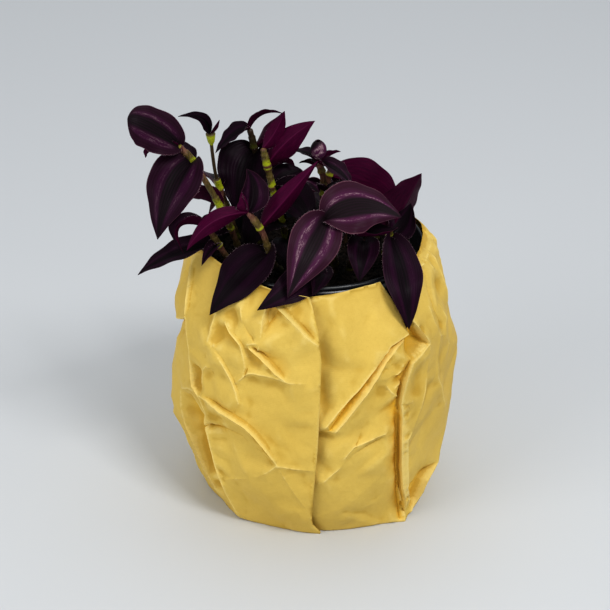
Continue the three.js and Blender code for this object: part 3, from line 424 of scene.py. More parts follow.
# Sharp folds. A fourth number is how far the paper there is pushed sideways, in degrees.
FOLDS = {
    "ear_ridge": [(197.5, 152, 1.4), (199, 148, 2.5), (204, 141, 3), (206, 132, 3.4), (206.5, 123, 3.2)],
    "ear_foot": [
        (174, 106, -1), (180, 107.5, -0.5), (186, 109.5, 0.4), (192, 112.5, 1.4), (199, 117, 2.6),
        (206.5, 122.5, 3.2),
    ],
    "ear_fold": [(187, 139, 0.3), (191, 138.5, -1.6), (201, 142, 1), (205, 140, 2.8)],
    "left_side": [
        (187, 104, -3), (186, 96, 0.5), (186, 79, 3.4), (186, 57, 5.4), (187, 47, 5.2), (188, 32, 2),
        (189, 19, 0.8), (189, 5, 1),
    ],
    "panel_edge": [
        (205.4, 127, 2.6), (206.9, 122.6, 3), (208.6, 116.5, 3.2), (211.8, 106.6, 3.4),
        (212.8, 94.1, 3.4), (214, 84.5, 3.6), (218.9, 81.2, 4),
    ],
    "pocket_edge": [
        (218.9, 81.2, 4), (222, 74.4, 3.8), (223.3, 62.3, 3.4), (224.4, 49.7, 3.2), (226.7, 33.3, 3),
        (228.4, 19.4, 2.6), (230.4, 8.1, 2.2), (231, 1.5, 1.6),
    ],
    "pocket_top": [(201.5, 74.6, 2.6), (209, 80, 3), (214.1, 82.1, 3.6)],
    "outer_ridge": [
        (198.2, 69.5, 2.6), (198.7, 59, 3), (202.2, 52.8, 3), (209, 46, 2.6), (211.5, 39.2, 2.4),
        (215.7, 31, 2.2), (220.1, 19, 2),
    ],
    "hook_arch": [
        (219.2, 85.5, 2), (219.7, 93.6, 2.6), (220.7, 98.8, 3), (222.9, 102.8, 3), (224.9, 102.7, 2.4),
        (225.7, 100, 1.2),
    ],
    "long_curl": [
        (225.1, 118.2, 2.6), (228.8, 113.4, 2.8), (232.2, 108.9, 3), (234.8, 103.7, 2.8),
        (236.8, 99, 2.4), (238.7, 94.4, 2.6), (239.8, 88.4, 2.4), (237.2, 80.9, 1),
    ],
    "left_ridge": [(225.7, 134.1, 1.6), (225, 126.5, 2.6), (223.9, 116.3, 3), (222.1, 107.8, 2.2)],
    "top_curl": [
        (231.6, 132.4, 1.6), (234.9, 128.2, 2.4), (238, 126.2, 3.2), (240.2, 122.8, 2.8),
        (241.8, 117.3, 2.8), (242.6, 111.3, 2.6), (241.4, 105.5, 2.2), (238.4, 100.2, 2),
    ],
    "top_short": [(238.5, 142.9, 2.2), (239.6, 136.9, 1.8), (242.7, 130.5, 1.4), (245.3, 128.6, 1.6)],
    "slot": [(252.1, 147.6, 1), (251, 142.9, -3.4), (250.8, 139, -3.6), (250.7, 136.4, -1)],
    "slot_ridge": [(250, 146, 2.6), (249.2, 140, 2.8), (249, 133.8, 2.6), (248.8, 128.5, 2.6)],
    "lap_ridge": [
        (252.6, 149.6, 2), (253.5, 147.9, 3.2), (258.9, 143.2, 3.6), (263.4, 138.6, 3.8),
        (267.5, 133.3, 3.6), (271.5, 128.3, 2.4),
    ],
    "pocket_rim": [(243.4, 125.1, 3), (245.9, 126.4, 3), (248.8, 127.1, 2.8), (247.8, 122.7, 2.4)],
    "step_ridge": [
        (243.9, 123.4, 3), (247.7, 120.4, 3.2), (251.6, 116.5, 3.4), (255.2, 111.8, 3.4),
        (259.2, 107.7, 3),
    ],
    "cross_ridge": [
        (237.2, 98.6, 1.8), (240.5, 103.2, 2.2), (243.6, 107.9, 2.6), (246.6, 109.1, 2.8),
        (251.5, 109.3, 2.8), (255.2, 108.9, 3), (260.4, 107, 3), (266.5, 107.4, 2.8), (272, 107, 2.4),
    ],
    "long_ridge": [
        (219.2, 82.3, 4), (224.2, 82.7, 4), (228.9, 81.2, 4), (236.3, 78.5, 4), (243, 75.3, 4),
        (246.7, 70.9, 4), (250.3, 65.4, 4), (253.9, 58.6, 4), (255.8, 54.5, 4.2),
    ],
    "below_long": [
        (221, 65.8, -1.2), (224.9, 65.3, -1.4), (233.1, 66.9, -0.8), (239.5, 66, -0.3),
        (247.9, 59.4, 0.4), (252.4, 54.9, 2),
    ],
    "star_left": [
        (255.8, 54.5, 4.2), (251.9, 48.5, 3.4), (248.1, 44.3, 2.8), (242.1, 39.5, 2), (229.7, 31.8, 2),
    ],
    "star_right": [(255.8, 54.5, 4.2), (260.7, 52.7, 3), (264.7, 52.1, 2.6), (270.2, 51.8, 2.2)],
    "star_down": [
        (255.8, 54.5, 4.2), (259.3, 42.8, 3), (263.3, 32, 2.2), (266.2, 24, 1.6), (268.6, 14.4, 1.2),
    ],
    "band_upper": [
        (-50.8, 126.6, 2.6), (-55.3, 125.7, 3), (-59.5, 123.7, 2.8), (-62.3, 119, 2.6),
        (-65.5, 113.9, 2.4), (-69.6, 107.6, 2.2), (-72.9, 101.7, 2), (-76.4, 96.5, 1.8), (-81.5, 88, 1.4),
        (-85.6, 80, 1),
    ],
    "band_floor": [
        (-51.5, 124.8, 0.4), (-54.5, 124.4, -0.6), (-59.2, 121.8, -1), (-62.8, 117, -1.4),
        (-66.1, 111.2, -1.6), (-69.6, 104.8, -1.8), (-73.2, 98, -1.8), (-77, 90.6, -1.4),
        (-81.6, 82.2, -0.8), (-84.5, 77, 0),
    ],
    "band_lower": [
        (-53.3, 124.1, 2.2), (-58.4, 120.5, 3), (-62.7, 115.1, 3.4), (-66.1, 108.5, 3.6),
        (-69.2, 102, 3.6), (-73.2, 94.4, 3.2), (-77.6, 85.6, 2.6), (-82.1, 77, 1.6),
    ],
    "corner_fold": [(-47.2, 131.6, 3.2), (-46.3, 129, 3.6), (-43.5, 122, 4.2), (-41.4, 117, 4.4)],
    "right_edge": [
        (-41.4, 117, 4.4), (-46.1, 114.3, 4.4, -0.8), (-51.5, 110.9, 4.6, -1.6), (-53.8, 105, 4.8, -2),
        (-55.5, 99.5, 4.8, -2.2), (-56.7, 93.7, 4.6, -2.4), (-57.1, 88.3, 4.4, -2.5),
        (-56.4, 78.3, 4.2, -2.5), (-56, 68.3, 4.2, -2.5), (-55.7, 58.3, 4.2, -2.5),
        (-54.9, 47.5, 4.2, -2.5), (-52.1, 29.4, 4.4, -2.5), (-44.5, 6.4, 5.4, -1.2),
        (-45, 1.4, 8.5, -0.2),
    ],
    "pleat_deep": [
        (-56.9, 88, -0.8, 0.4), (-55.7, 75, -1.6, 0.5), (-54.7, 57.5, -1.8, 0.5),
        (-53.3, 40.9, -1.8, 0.5), (-49.6, 22, -1.2, 0.5), (-46, 9, 1, 0.5), (-46.6, 2, 5, 0),
    ],
    "pleat_mid": [
        (-55, 82, 0.2, 0.2), (-54.3, 74.9, -0.6, 0.2), (-53.5, 59.3, -0.8, 0.2), (-52.2, 42.9, -0.8, 0.2),
        (-48.8, 24, -0.4, 0.2), (-44.9, 9, 2, 0.2),
    ],
    "strip": [(-52.6, 63.6, 3.8), (-51.1, 44.8, 3.8), (-48, 26.2, 3.8), (-40.2, 5, 4.4)],
    "right_ridge": [
        (-52.6, 63.6, 3.8), (-48.5, 71.4, 3.2), (-45.2, 79.2, 3), (-43.2, 89.4, 2.8), (-42.2, 99.8, 2.8),
        (-41.4, 115, 4.2),
    ],
    "knot_star_a": [(-57, 88.9, 4.2, -2.5), (-53, 85.8, 3), (-50.9, 87, 3.6)],
    "knot_star_b": [(-53, 85.8, 3), (-50.8, 80.6, 2.6), (-53, 76.6, 3.6)],
    "knot_lip": [(-62.3, 101.9, 2), (-61.4, 99, 2.6), (-60.3, 96.8, 3), (-57.6, 93.2, 2.2)],
    "knot_lip_b": [(-60.3, 96.8, 3), (-58.3, 99.5, 2.6), (-56.2, 99.8, 2)],
    "knot_ridge": [(-66.4, 104.3, 2.6), (-62.7, 105.4, 2.8), (-59.5, 106.3, 2.2), (-57.4, 106, 2.6)],
    "knot_ridge_b": [(-62.1, 110.9, 1.4), (-59.4, 108.8, 2), (-57.4, 106, 2.6), (-55, 106.7, 1.8)],
    "knot_top": [(-58.9, 112.2, 1.2), (-55.7, 113.3, 2.4), (-54, 114.6, 2.6), (-54.4, 109.6, 2.2)],
    "fan_one": [
        (-61.4, 68, 0.6), (-64.8, 66, -0.8), (-68.6, 64.5, -1), (-73.8, 61.1, 0.2), (-76.9, 57.1, 1),
        (-81, 50.9, 1.4), (-85.6, 43.9, 0.8), (-89.9, 38.9, -1.6),
    ],
    "fan_ridge": [
        (-61.9, 70.8, 1.6), (-66.2, 69.6, 1), (-70.6, 67.7, 1.2), (-74.9, 65.7, 1.6), (-78, 60, 1.8),
    ],
    "fan_two": [(-70.9, 76.4, -0.8), (-71.7, 70.6, -0.8), (-74.3, 65.4, 1)],
    "right_soft": [
        (-35.5, 132.9, 1.8), (-34.5, 123.9, 2.2), (-31.4, 115.7, 2.6), (-32.5, 107.3, 2),
        (-34.2, 92.6, 1.8), (-28.2, 76.9, 1.6), (-23.6, 66.3, 1),
    ],
    "right_soft_b": [(-37.6, 117.1, 2.2), (-31.4, 115.7, 2.6), (-25.6, 111.4, 1.6), (-22, 104, 1.2)],
    "lens_lip": [(-39.5, 2, 7), (-36.5, 4.5, 5.4), (-34, 8, 4.6), (-30, 17.8, 3.4), (-20.7, 23.6, 2.6)],
    "rim_bend": [
        (-38, 150.5, -0.4), (-30, 152.2, -1), (-20, 153, -1.2), (-8, 153.2, -1.2), (4, 152.8, -1),
        (14, 151.6, -0.4),
    ],
    "rim_valley": [(8, 155.4, -2.8), (5, 151.6, 0), (1, 146.5, -1.4), (-3, 139.5, -2.6), (-6, 130, -3)],
    "right_shoulder": [
        (-14, 155.6, -2.8), (-13.6, 150, 0.8), (-14.6, 141, 0.8), (-13, 131, 0.2), (-11, 117, -1.8),
        (-13, 99, 0.2),
    ],
    "right_shoulder_b": [
        (-25, 154.6, -2.4), (-21.6, 149.4, 0.2), (-20.6, 146.4, 0), (-24.4, 140.6, -1.4),
        (-26.2, 133, -0.8), (-24.4, 122, 1.4), (-25.6, 111.4, 1.6),
    ],
    "right_valley": [
        (-29, 153, -2.6), (-28, 146.8, -1.6), (-31, 140, -1.2), (-31, 131.6, -0.8), (-27.8, 120, 0),
    ],
}

# Folds that lie over the paper beside them: which side of the fold, and how far the paper drops there.
STEPS = {
    "ear_foot": (-1, 3.8), "ear_ridge": (1, 1.6), "panel_edge": (-1, 1.8), "pocket_edge": (-1, 3),
    "lap_ridge": (1, 3), "step_ridge": (1, 3.2), "long_ridge": (1, 2.6), "top_curl": (1, 0.9),
    "long_curl": (1, 0.9), "corner_fold": (-1, 6), "right_edge": (-1, 5), "strip": (1, 3.4),
    "lens_lip": (1, 5),
}
STEP_WIDTH = 1.3

# Soft hollows and swells.
SWELLS = {
    "pocket_floor": [
        (206, 68, -4), (207, 60, -6), (211, 52, -6.4), (214, 44, -6), (217.6, 34, -4.6), (222, 22, -2.4),
    ],
    "hook_slot": [(216.7, 93.6, -2), (215.8, 87.5, -2.6)],
    "left_hollow": [(227.4, 125.8, -1.2), (226.6, 118.4, -1.6)],
    "curl_side": [(244.6, 119.9, -0.6), (246.1, 113.7, 0)],
    "top_dark": [(233.9, 137, -2.4), (235.8, 133.6, -1.6)],
    "top_dark_low": [(231.8, 129, -2), (234, 124.7, -1.2)],
    "lap_shade": [(255.6, 149, -0.4), (262.5, 142.6, -0.6), (270, 134.6, 0.4)],
    "long_shade": [(229, 86, 1.2), (238.8, 84, 1.4), (248.4, 79, 1.4), (256, 69, 1.2), (260, 59, 1.4)],
    "soft_fold": [(257, 101.8, 0), (256.8, 91.9, 0.4), (257.1, 82.5, 0), (258.8, 70, 0.2)],
    "low_smudge": [(246.3, 31.2, 0.2), (250.8, 20.4, -0.8), (256.3, 15.3, 0.6)],
    "left_swell": [(197, 93, 0.4), (200, 84, 1.6)],
    "pleat_near": [
        (-61.7, 89.4, 0.8), (-60.8, 73.9, 0.8), (-60, 58.5, 0.4), (-59, 42.3, 0.2), (-56.3, 23.6, 0.2),
        (-54, 10, 1.4),
    ],
    "fan_three": [
        (-61, 61.5, 0.2), (-63.8, 58.1, -0.8), (-69.2, 52, -0.8), (-74.4, 43.4, 0.2), (-80.9, 29.3, 0.4),
    ],
    "fan_four": [(-60.5, 57, 1), (-63.6, 54.8, 0.8), (-68.5, 49.4, 0.8)],
    "right_low": [(-47, 54, -0.4), (-40, 40, -1.4), (-35.4, 26, -1.8)],
    "lens_dark": [(-37, 14, -3.4), (-35, 20, -3.6), (-41.5, 18, -2)],
    "shadow_side": [
        (-87, 131.2, -4.6), (-86.5, 114.5, -6), (-87, 98, -5.6), (-88, 74, -4.4), (-89, 56, -3.6),
    ],
    "shadow_rise": [(-79, 134, 0.4), (-76.5, 118, 1), (-78.5, 106, 0.8), (-82, 92, 0.4)],
    "recess": [(-47.5, 122, -3.6), (-45, 118.4, -3.8), (-49, 115.6, -3), (-50, 119.4, -3.4)],
    "right_top": [(-8, 149.6, 1), (0, 150, 1.8), (10, 149.4, 1.6), (20, 148, 1)],
    "right_waist": [(-5, 119, -3.6), (4, 120, -4), (20, 120, -3.6)],
    "right_waist_b": [(-1, 131, -2.4), (6, 131, -2.4), (20, 131, -2.2)],
    "right_waist_c": [(-6, 108, -2.4), (4, 108, -2.8), (18, 108, -2.4)],
    "right_waist_d": [(4, 142, -0.6), (18, 142, -0.8)],
    "left_waist": [
        (161, 100, -3), (173, 97, -3.6), (180, 96, -2.6), (162, 88, -2.4), (175, 88, -2.4),
        (164, 110, -1),
    ],
    "ear_under": [(168, 101, -3.4), (175, 101, -3.8), (181, 102, -3.8), (190, 104, -3), (197, 107, -2)],
    "ear_under_b": [(170, 94, -1.6), (178, 94, -1.4)],
    "ear_side": [(182, 115, 0.8), (183, 122, 1.4), (190, 125, 2.2), (176, 118, 0.2)],
    "shoulder_fold": [(-19, 149, -1.6), (-18, 138, -2.4), (-18, 128, -2), (-17, 116, -2), (-18, 104, -0.8)],
    "right_side": [(-4, 92, 1.2), (-2, 78, 0.6), (-6, 60, 0.2), (-6, 40, -0.4), (-8, 22, 0.8)],
    "right_line": [(-20, 86, -0.8), (-17, 64, -0.6), (-16, 46, 0.6)],
}
DENTS = [
    (246.2, 122.6, -3.5), (219, 144, -1.2), (222, 132, -1.2), (232, 144, 1.2), (241, 146, -0.6),
    (240, 14, -0.8), (250, 32, 0.6), (263, 90, 1.2), (265, 76, 0.2), (236, 50, 0.4), (243, 56, 0),
    (-56.3, 93.4, -5), (-54.6, 103, -3), (-57.4, 102.6, -0.6), (-57.6, 84.6, -2), (-56.4, 110, -0.6),
    (-63, 98.6, -0.4), (-66.5, 96, 0.4), (-40, 126, 1.4), (-36, 138, 0.4), (-40, 88, 0.4), (-47, 90, 0.6),
    (-46, 104, 2), (-80, 18, 0.6), (-68, 22, 0.8), (-60, 10, 1), (-74, 130, 0.6), (-63, 136, 1.2),
    (-76, 112, 0.2), (-87, 12, -1.6), (-100, 120, -4), (-98, 70, -4), (-98, 22, -4), (-94, 132, -3),
    (-94, 100, -3.4), (-93, 50, -3), (-80, 72, -0.2), (-68, 84, 0.2), (-84, 60, 0), (-82, 100, -0.4),
]

# The upright ridges round the back, their bends at these heights.
BACK_FOLDS = 11
BACK_START = 12
BACK_SPACING = 15.5
BACK_HEIGHTS = [149, 130, 112, 92, 70, 48, 26, 6]
BACK_RISE = 3.3
# The first and the last of the ridges lie flatter: their offsets at those heights, by their number.
BACK_LOW = {0: [0.4, -3, -3, -0.4, -0.6, -0.8, -0.6, 0.6], 10: [0, 0.4, -1.4, -3.6, -1, 2, 0.6, 0]}

# Between neighbouring points of the sheet, in millimetres: over its facets, its fine net, its folds.
FACET_STEP = 9
FINE_STEP = 1.7
FOLD_STEP = 0.9
SMOOTHINGS = 4
RELIEF = 0.62  # how much deeper the broad hollows get
CRUMPLES = [(21, 3), (9, 0.9), (4.5, 0.2)]  # width and height of the small facets
NARROW = ("pleat_deep", "pleat_mid", "band_floor")  # folds whose sides throw yellow light on each other


def on_sheet(points):
    """The flat place of points of the sheet: along it and up it, in millimetres."""
    points = np.asarray(points, float)
    return np.column_stack([points[:, 0] * SHEET_SCALE, points[:, 1]])


def laid(line):
    """A line as rows of (angle, height, offset, push), its angles where the paper was before the push."""
    rows = np.array([(*p, 0.0)[:4] for p in line], float)
    rows[:, 0] -= rows[:, 3]
    return rows


def stepped(line, step):
    """The same line with points no further than step apart on the sheet."""
    flat = on_sheet(line)
    rows = [line[:1]]
    for i in range(len(line) - 1):
        count = max(math.ceil(np.hypot(*(flat[i + 1] - flat[i])) / step), 1)
        share = np.linspace(0, 1, count + 1)[1:, None]
        rows.append(line[i] + (line[i + 1] - line[i]) * share)
    return np.vstack(rows)


def beside(line, away, drop=0.0):
    """The line that runs beside another on the sheet, and lower by drop except near its ends."""
    line = stepped(line, 2.5)
    flat = on_sheet(line)
    run = np.gradient(flat, axis=0)
    run /= np.hypot(*run.T)[:, None]
    share = np.linspace(0, 1, len(line))
    lower = drop * np.minimum(np.sin(np.pi * share) * 1.6, 1)
    found = line.copy()
    found[:, 0] += -run[:, 1] * away / SHEET_SCALE
    found[:, 1] += run[:, 0] * away
    found[:, 2] -= lower
    found[:, 3] = 0 if drop else found[:, 3]
    return found[1:-1] if drop else found


def back_folds(random):
    """Round the back the folds follow a rule: crooked upright ridges, linked across by slanting ones."""
    ridges = []
    for k in range(BACK_FOLDS):
        angle = BACK_START + BACK_SPACING * k
        ridge = []
        for i, h in enumerate(BACK_HEIGHTS):
            turn, rise, height = random.random(3)
            height = BACK_LOW[k][i] + height if k in BACK_LOW else BACK_RISE * height
            ridge.append((angle + 9 * (turn - 0.5), h + 9 * (rise - 0.5) * (5 < h < 149), height))
        ridges.append(ridge)
    lines = []
    for k, ridge in enumerate(ridges):
        cut = 2 + int(4 * random.random())
        lines += [ridge[:cut], ridge[cut - 1 + k % 2:]]
        for i in range(1, len(ridge) - 1):
            if k + 1 < len(ridges) and random.random() < 0.75:
                other = ridges[k + 1][i + (1 if random.random() < 0.5 else -1)]
                middle = tuple((a + b) / 2 for a, b in zip(ridge[i][:2], other[:2]))
                lines.append([ridge[i], (*middle, -1.8 + 2.4 * random.random()), other])
    return [line for line in lines if len(line) > 1]


def net(flat, lines=()):
    """The Delaunay net of flat points with these lines as edges of it: points, triangles, origins."""
    found = geometry.delaunay_2d_cdt([Vector(p) for p in flat], list(lines), [], 0, 1e-5)
    return np.array([tuple(p) for p in found[0]]), np.array(found[2]), found


def read_off(flat, values, triangles, places):
    """The values at the corners of a net of flat points, read off its flat triangles at other places."""
    result = np.full((len(places), values.shape[1]), np.nan)
    a, b, c = (flat[triangles[:, k]] for k in range(3))
    turn = (b[:, 0] - a[:, 0]) * (c[:, 1] - a[:, 1]) - (b[:, 1] - a[:, 1]) * (c[:, 0] - a[:, 0])
    low, high = np.minimum(np.minimum(a, b), c) - 1e-6, np.maximum(np.maximum(a, b), c) + 1e-6
    order = np.argsort(places[:, 1])
    starts, ends = (np.searchsorted(places[order, 1], edge[:, 1]) for edge in (low, high))
    for i in np.nonzero(np.abs(turn) > 1e-9)[0]:
        near = order[starts[i]:ends[i]]
        near = near[(places[near, 0] >= low[i, 0]) & (places[near, 0] <= high[i, 0])]
        p = places[near]
        x, y = (p - a[i]).T
        u = (x * (c[i, 1] - a[i, 1]) - y * (c[i, 0] - a[i, 0])) / turn[i]
        v = ((b[i, 0] - a[i, 0]) * y - (b[i, 1] - a[i, 1]) * x) / turn[i]
        within = (u > -1e-6) & (v > -1e-6) & (u + v < 1 + 1e-6)
        t = values[triangles[i]]
        u, v = u[within, None], v[within, None]
        result[near[within]] = t[0] + u * (t[1] - t[0]) + v * (t[2] - t[0])
    return np.nan_to_num(result)


def crumples(random, places, step, height):
    """Small flat facets of random heights, as crumpled paper has between its main folds."""
    low, high = places.min(0) - step, places.max(0) + step
    columns = np.arange(low[0], high[0] + step, step)
    rows = np.arange(low[1], high[1] + step, step)
    grid = np.array([(x, y) for x in columns for y in rows])
    grid += (random.random(grid.shape) - 0.5) * step * 0.9
    flat, triangles, _ = net(grid)
    return read_off(flat, height * (random.random((len(flat), 1)) - 0.5), triangles, places)[:, 0]


def inside(outline, places):
    """Which places lie within the outline."""
    odd = np.zeros(len(places), bool)
    for (ax, ay), (bx, by) in zip(outline, np.roll(outline, -1, 0)):
        if ay == by:
            continue
        crosses = (ay > places[:, 1]) != (by > places[:, 1])
        odd ^= crosses & (places[:, 0] < ax + (places[:, 1] - ay) / (by - ay) * (bx - ax))
    return odd


def eased(values, pairs, held, times):
    """Each value drawn to the mean of its neighbours' again and again, apart from those that are held."""
    first, second = pairs[:, 0], pairs[:, 1]
    count = np.bincount(first, minlength=len(values)) + np.bincount(second, minlength=len(values))
    values = values.copy()
    for _ in range(times):
        total = np.bincount(first, values[second], len(values))
        total += np.bincount(second, values[first], len(values))
        values = np.where(held, values, 0.5 * values + 0.5 * total / np.maximum(count, 1))
    return values


def barrel_radius(angle, height):
    """The radius of the wrapped pot before it is crumpled; angle in radians."""
    heights = np.arange(-20, 181, 0.5)
    width = np.exp(-0.5 * (np.arange(-24, 25) / 9) ** 2)
    barrel = np.interp(heights, *np.array(BARREL).T)
    barrel = np.convolve(np.pad(barrel, 24, "reflect", reflect_type="odd"), width / width.sum(), "valid")
    aside = np.maximum(np.cos(angle - math.radians(LEFT_SIDE)), 0)
    flatter = LEFT_FLAT * aside * np.sin(math.pi * np.clip(height / NECK, 0, 1))
    return np.interp(height, heights, barrel) - flatter


def coarse_net(edge, folds):
    """Flat facets between the folds: their net, and the offset, push and place of each corner."""
    swells = (laid(line) for line in SWELLS.values())
    rows = [edge, *(stepped(line, FACET_STEP) for line in folds.values()), *swells]
    spots = np.vstack([*rows, laid(DENTS)])
    flat = on_sheet(spots)
    kept = [i for i in range(len(flat)) if i == 0 or np.hypot(*(flat[:i] - flat[i]).T).min() >= 1]
    coarse, triangles, found = net(flat[kept])
    spots = spots[kept][[ids[0] for ids in found[3]]]
    turn = np.radians(spots[:, 0])
    reach = barrel_radius(turn, spots[:, 1]) + spots[:, 2]
    corners = np.column_stack([spots[:, 2], spots[:, 3], reach * np.cos(turn), reach * np.sin(turn)])
    return coarse, triangles, corners


def fine_net(random, edge, folds):
    """The sheet's edge, its folds with a row of points close on each side, and an even field between."""
    edge = stepped(np.vstack([edge, edge[:1]]), FINE_STEP)[:-1]
    outline = on_sheet(edge)
    rows = [edge]
    lines = [(i, (i + 1) % len(edge)) for i in range(len(edge))]
    edges_of_sheet = len(lines)
    count = len(edge)
    close, in_narrow = [], set()
    for name, line in folds.items():
        fine = stepped(line, FOLD_STEP)
        if name in NARROW:
            in_narrow.update(range(count, count + len(fine)))
        lines += [(count + i, count + i + 1) for i in range(len(fine) - 1)]
        rows.append(fine)
        count += len(fine)
        close += [beside(fine, 0.6), beside(fine, -0.6)]
    fixed = np.vstack(rows)
    fixed_flat = on_sheet(fixed)
    close = on_sheet(np.vstack(close))
    low, high = outline.min(0), outline.max(0)
    field = []
    for row, y in enumerate(np.arange(low[1] + 1, high[1], FINE_STEP * 0.866)):
        x = np.arange(low[0] + (row % 2) * FINE_STEP / 2, high[0], FINE_STEP)
        field.append(np.column_stack([x, np.full(len(x), y)]))
    field = np.vstack(field)
    field += (random.random(field.shape) - 0.5) * 0.3
    taken = {}
    for x, y in fixed_flat:
        taken.setdefault((int(x // 1), int(y // 1)), []).append((x, y))

    def clear(x, y, gap):
        i, j = int(x // 1), int(y // 1)
        near = (q for di in (-1, 0, 1) for dj in (-1, 0, 1) for q in taken.get((i + di, j + dj), ()))
        return all((x - u) ** 2 + (y - v) ** 2 > gap ** 2 for u, v in near)

    free = []
    for points, gap in ((close, 0.5), (field, 0.8)):
        for x, y in points[inside(outline, points)]:
            if clear(x, y, gap):
                taken.setdefault((int(x // 1), int(y // 1)), []).append((x, y))
                free.append((x, y))
    places, faces, found = net(np.vstack([fixed_flat, free]), lines)
    return places, faces[inside(outline, places[faces].mean(1))], found, fixed, edges_of_sheet, in_narrow


def paper_sheet():
    """The crumpled sheet: its flat places, its points, its faces, its sharp edges and their values."""
    random = np.random.default_rng(11)
    folds = {name: laid(line) for name, line in FOLDS.items()}
    folds.update({f"back_{i}": laid(line) for i, line in enumerate(back_folds(random))})
    for name, (side, drop) in STEPS.items():
        folds[name + "_step"] = beside(folds[name], side * STEP_WIDTH, drop)
    edge = laid(SHEET_EDGE)
    coarse, triangles, corners = coarse_net(edge, folds)
    places, faces, found, fixed, edges_of_sheet, in_narrow = fine_net(random, edge, folds)

    # Only what lies within the sheet's outline is kept, and its points are numbered again.
    used = np.unique(faces)
    number = np.full(len(places), -1)
    number[used] = np.arange(len(used))
    pairs, sharp = [], []
    on_edge, on_fold = np.zeros(len(places), bool), np.zeros(len(places), bool)
    for ends, sources in zip(found[1], found[4]):
        pairs.append(ends)
        if any(s < edges_of_sheet for s in sources):
            on_edge[list(ends)] = True
        elif sources:
            on_fold[list(ends)] = True
            sharp.append(ends)
    pairs = np.array([p for p in pairs if number[p[0]] >= 0 and number[p[1]] >= 0])
    pairs = number[pairs]
    sharp = {tuple(sorted(number[list(p)])) for p in sharp}

    # Each point's offset and push are read off the coarse facets, or are its fold's own.
    read = read_off(coarse, corners, triangles, places)
    angle = np.radians(places[:, 0] / SHEET_SCALE)
    facet = np.hypot(read[:, 2], read[:, 3]) - barrel_radius(angle, places[:, 1])
    offset, push = 0.25 * read[:, 0] + 0.75 * facet, read[:, 1]
    for i, ids in enumerate(found[3]):
        if ids and ids[0] < len(fixed) and (on_fold[i] or on_edge[i]):
            offset[i], push[i] = fixed[ids[0]][2:]
    places, offset, push, on_edge, on_fold = (v[used] for v in (places, offset, push, on_edge, on_fold))
    faces = number[faces]
    nothing = np.zeros(len(used), bool)
    narrow = np.array([bool(ids) and ids[0] in in_narrow for ids in found[3]], float)[used]
    narrow = np.clip(2.6 * eased(narrow, pairs, nothing, 5), 0, 1)
    offset = eased(offset, pairs, on_edge | on_fold, SMOOTHINGS)
    push = eased(push, pairs, on_edge | on_fold, SMOOTHINGS)

    # Small facets in between, keener near the folds, and then the broad hollows a little deeper.
    near = eased(on_fold.astype(float), pairs, nothing, 6)
    rough = 0.75 + 1.1 * np.clip(4 * eased(on_fold.astype(float), pairs, nothing, 60), 0, 1)
    broad, *finer = (crumples(random, places, width, height) for width, height in CRUMPLES)
    small = broad + sum(finer) * rough
    offset += eased(small, pairs, nothing, 1) * np.clip(1 - 1.6 * near, 0, 1) * ~on_edge
    ridge = on_fold & (offset > eased(offset, pairs, nothing, 3) + 0.12)
    crease = np.clip(1.5 * eased(ridge.astype(float), pairs, nothing, 1), 0, 1)
    offset = 0.85 * offset + 0.15 * eased(offset, pairs, on_edge, 1)
    hollow = eased(offset, pairs, nothing, 60) - offset
    by_edge = eased(on_edge.astype(float), pairs, nothing, 14)
    offset -= RELIEF * hollow * np.clip(1 - 2.4 * by_edge, 0, 1)
    bend = eased(offset, pairs, nothing, 3) - offset

    angle = np.radians(places[:, 0] / SHEET_SCALE + push)
    radius = barrel_radius(angle, places[:, 1]) + offset
    points = np.column_stack([radius * np.cos(angle), radius * np.sin(angle), places[:, 1]])
    values = {"crease": crease, "hollow": hollow, "narrow": narrow, "rough": rough, "bend": bend}
    return places, points, faces, sharp, values


def with_values(made, **values):
    """Gives each corner point of a piece's mesh a number by name."""
    for name, numbers in values.items():
        made.data.attributes.new(name, "FLOAT", "POINT").data.foreach_set(
            "value", np.asarray(numbers, np.float32)
        )


def with_map(made, name, flat):
    """Gives a piece a UV map from a flat place for each of its points."""
    layer = made.data.uv_layers.new(name=name)
    corner = np.zeros(len(made.data.loops), np.int32)
    made.data.loops.foreach_get("vertex_index", corner)
    layer.uv.foreach_set("vector", np.asarray(flat, np.float32)[corner].ravel())


def value_of(tree, name):
    """A number that the mesh carries."""
    return add(tree, "ShaderNodeAttribute", attribute_name=name).outputs["Fac"]


def ridges_group():
    """Fine parallel ridges, Count of them as Across goes from 0 to 1: a height from 0 to 1."""
    tree, given, out = new_tree(
        "fine ridges",
        "ShaderNodeTree",
        [("Across", "Float", 0.0), ("Count", "Float", 10.0), ("Wander", "Float", 0.0)],
        [("Height", "Float")],
    )
    turns = product(tree, given.outputs[0], given.outputs[1])
    moved = worked(tree, "ADD", turns, given.outputs[2])
    wave = worked(tree, "SINE", product(tree, moved, 2 * math.pi))
    tree.links.new(worked(tree, "MULTIPLY_ADD", wave, 0.5, 0.5), out.inputs[0])
    return tree


RIDGES = ridges_group()


def ridges(tree, across, count, wander=0.0):
    """The fine ridges placed in a material, with its own values."""
    made = add(tree, "ShaderNodeGroup", node_tree=RIDGES)
    for key, value in (("Across", across), ("Count", count), ("Wander", wander)):
        if isinstance(value, bpy.types.NodeSocket):
            tree.links.new(value, made.inputs[key])
        else:
            made.inputs[key].default_value = value
    return made.outputs[0]


FACET_SCALES = (42.0, 105.0)
FACET_TILT = 0.2
LAID_RIBS = 150.0


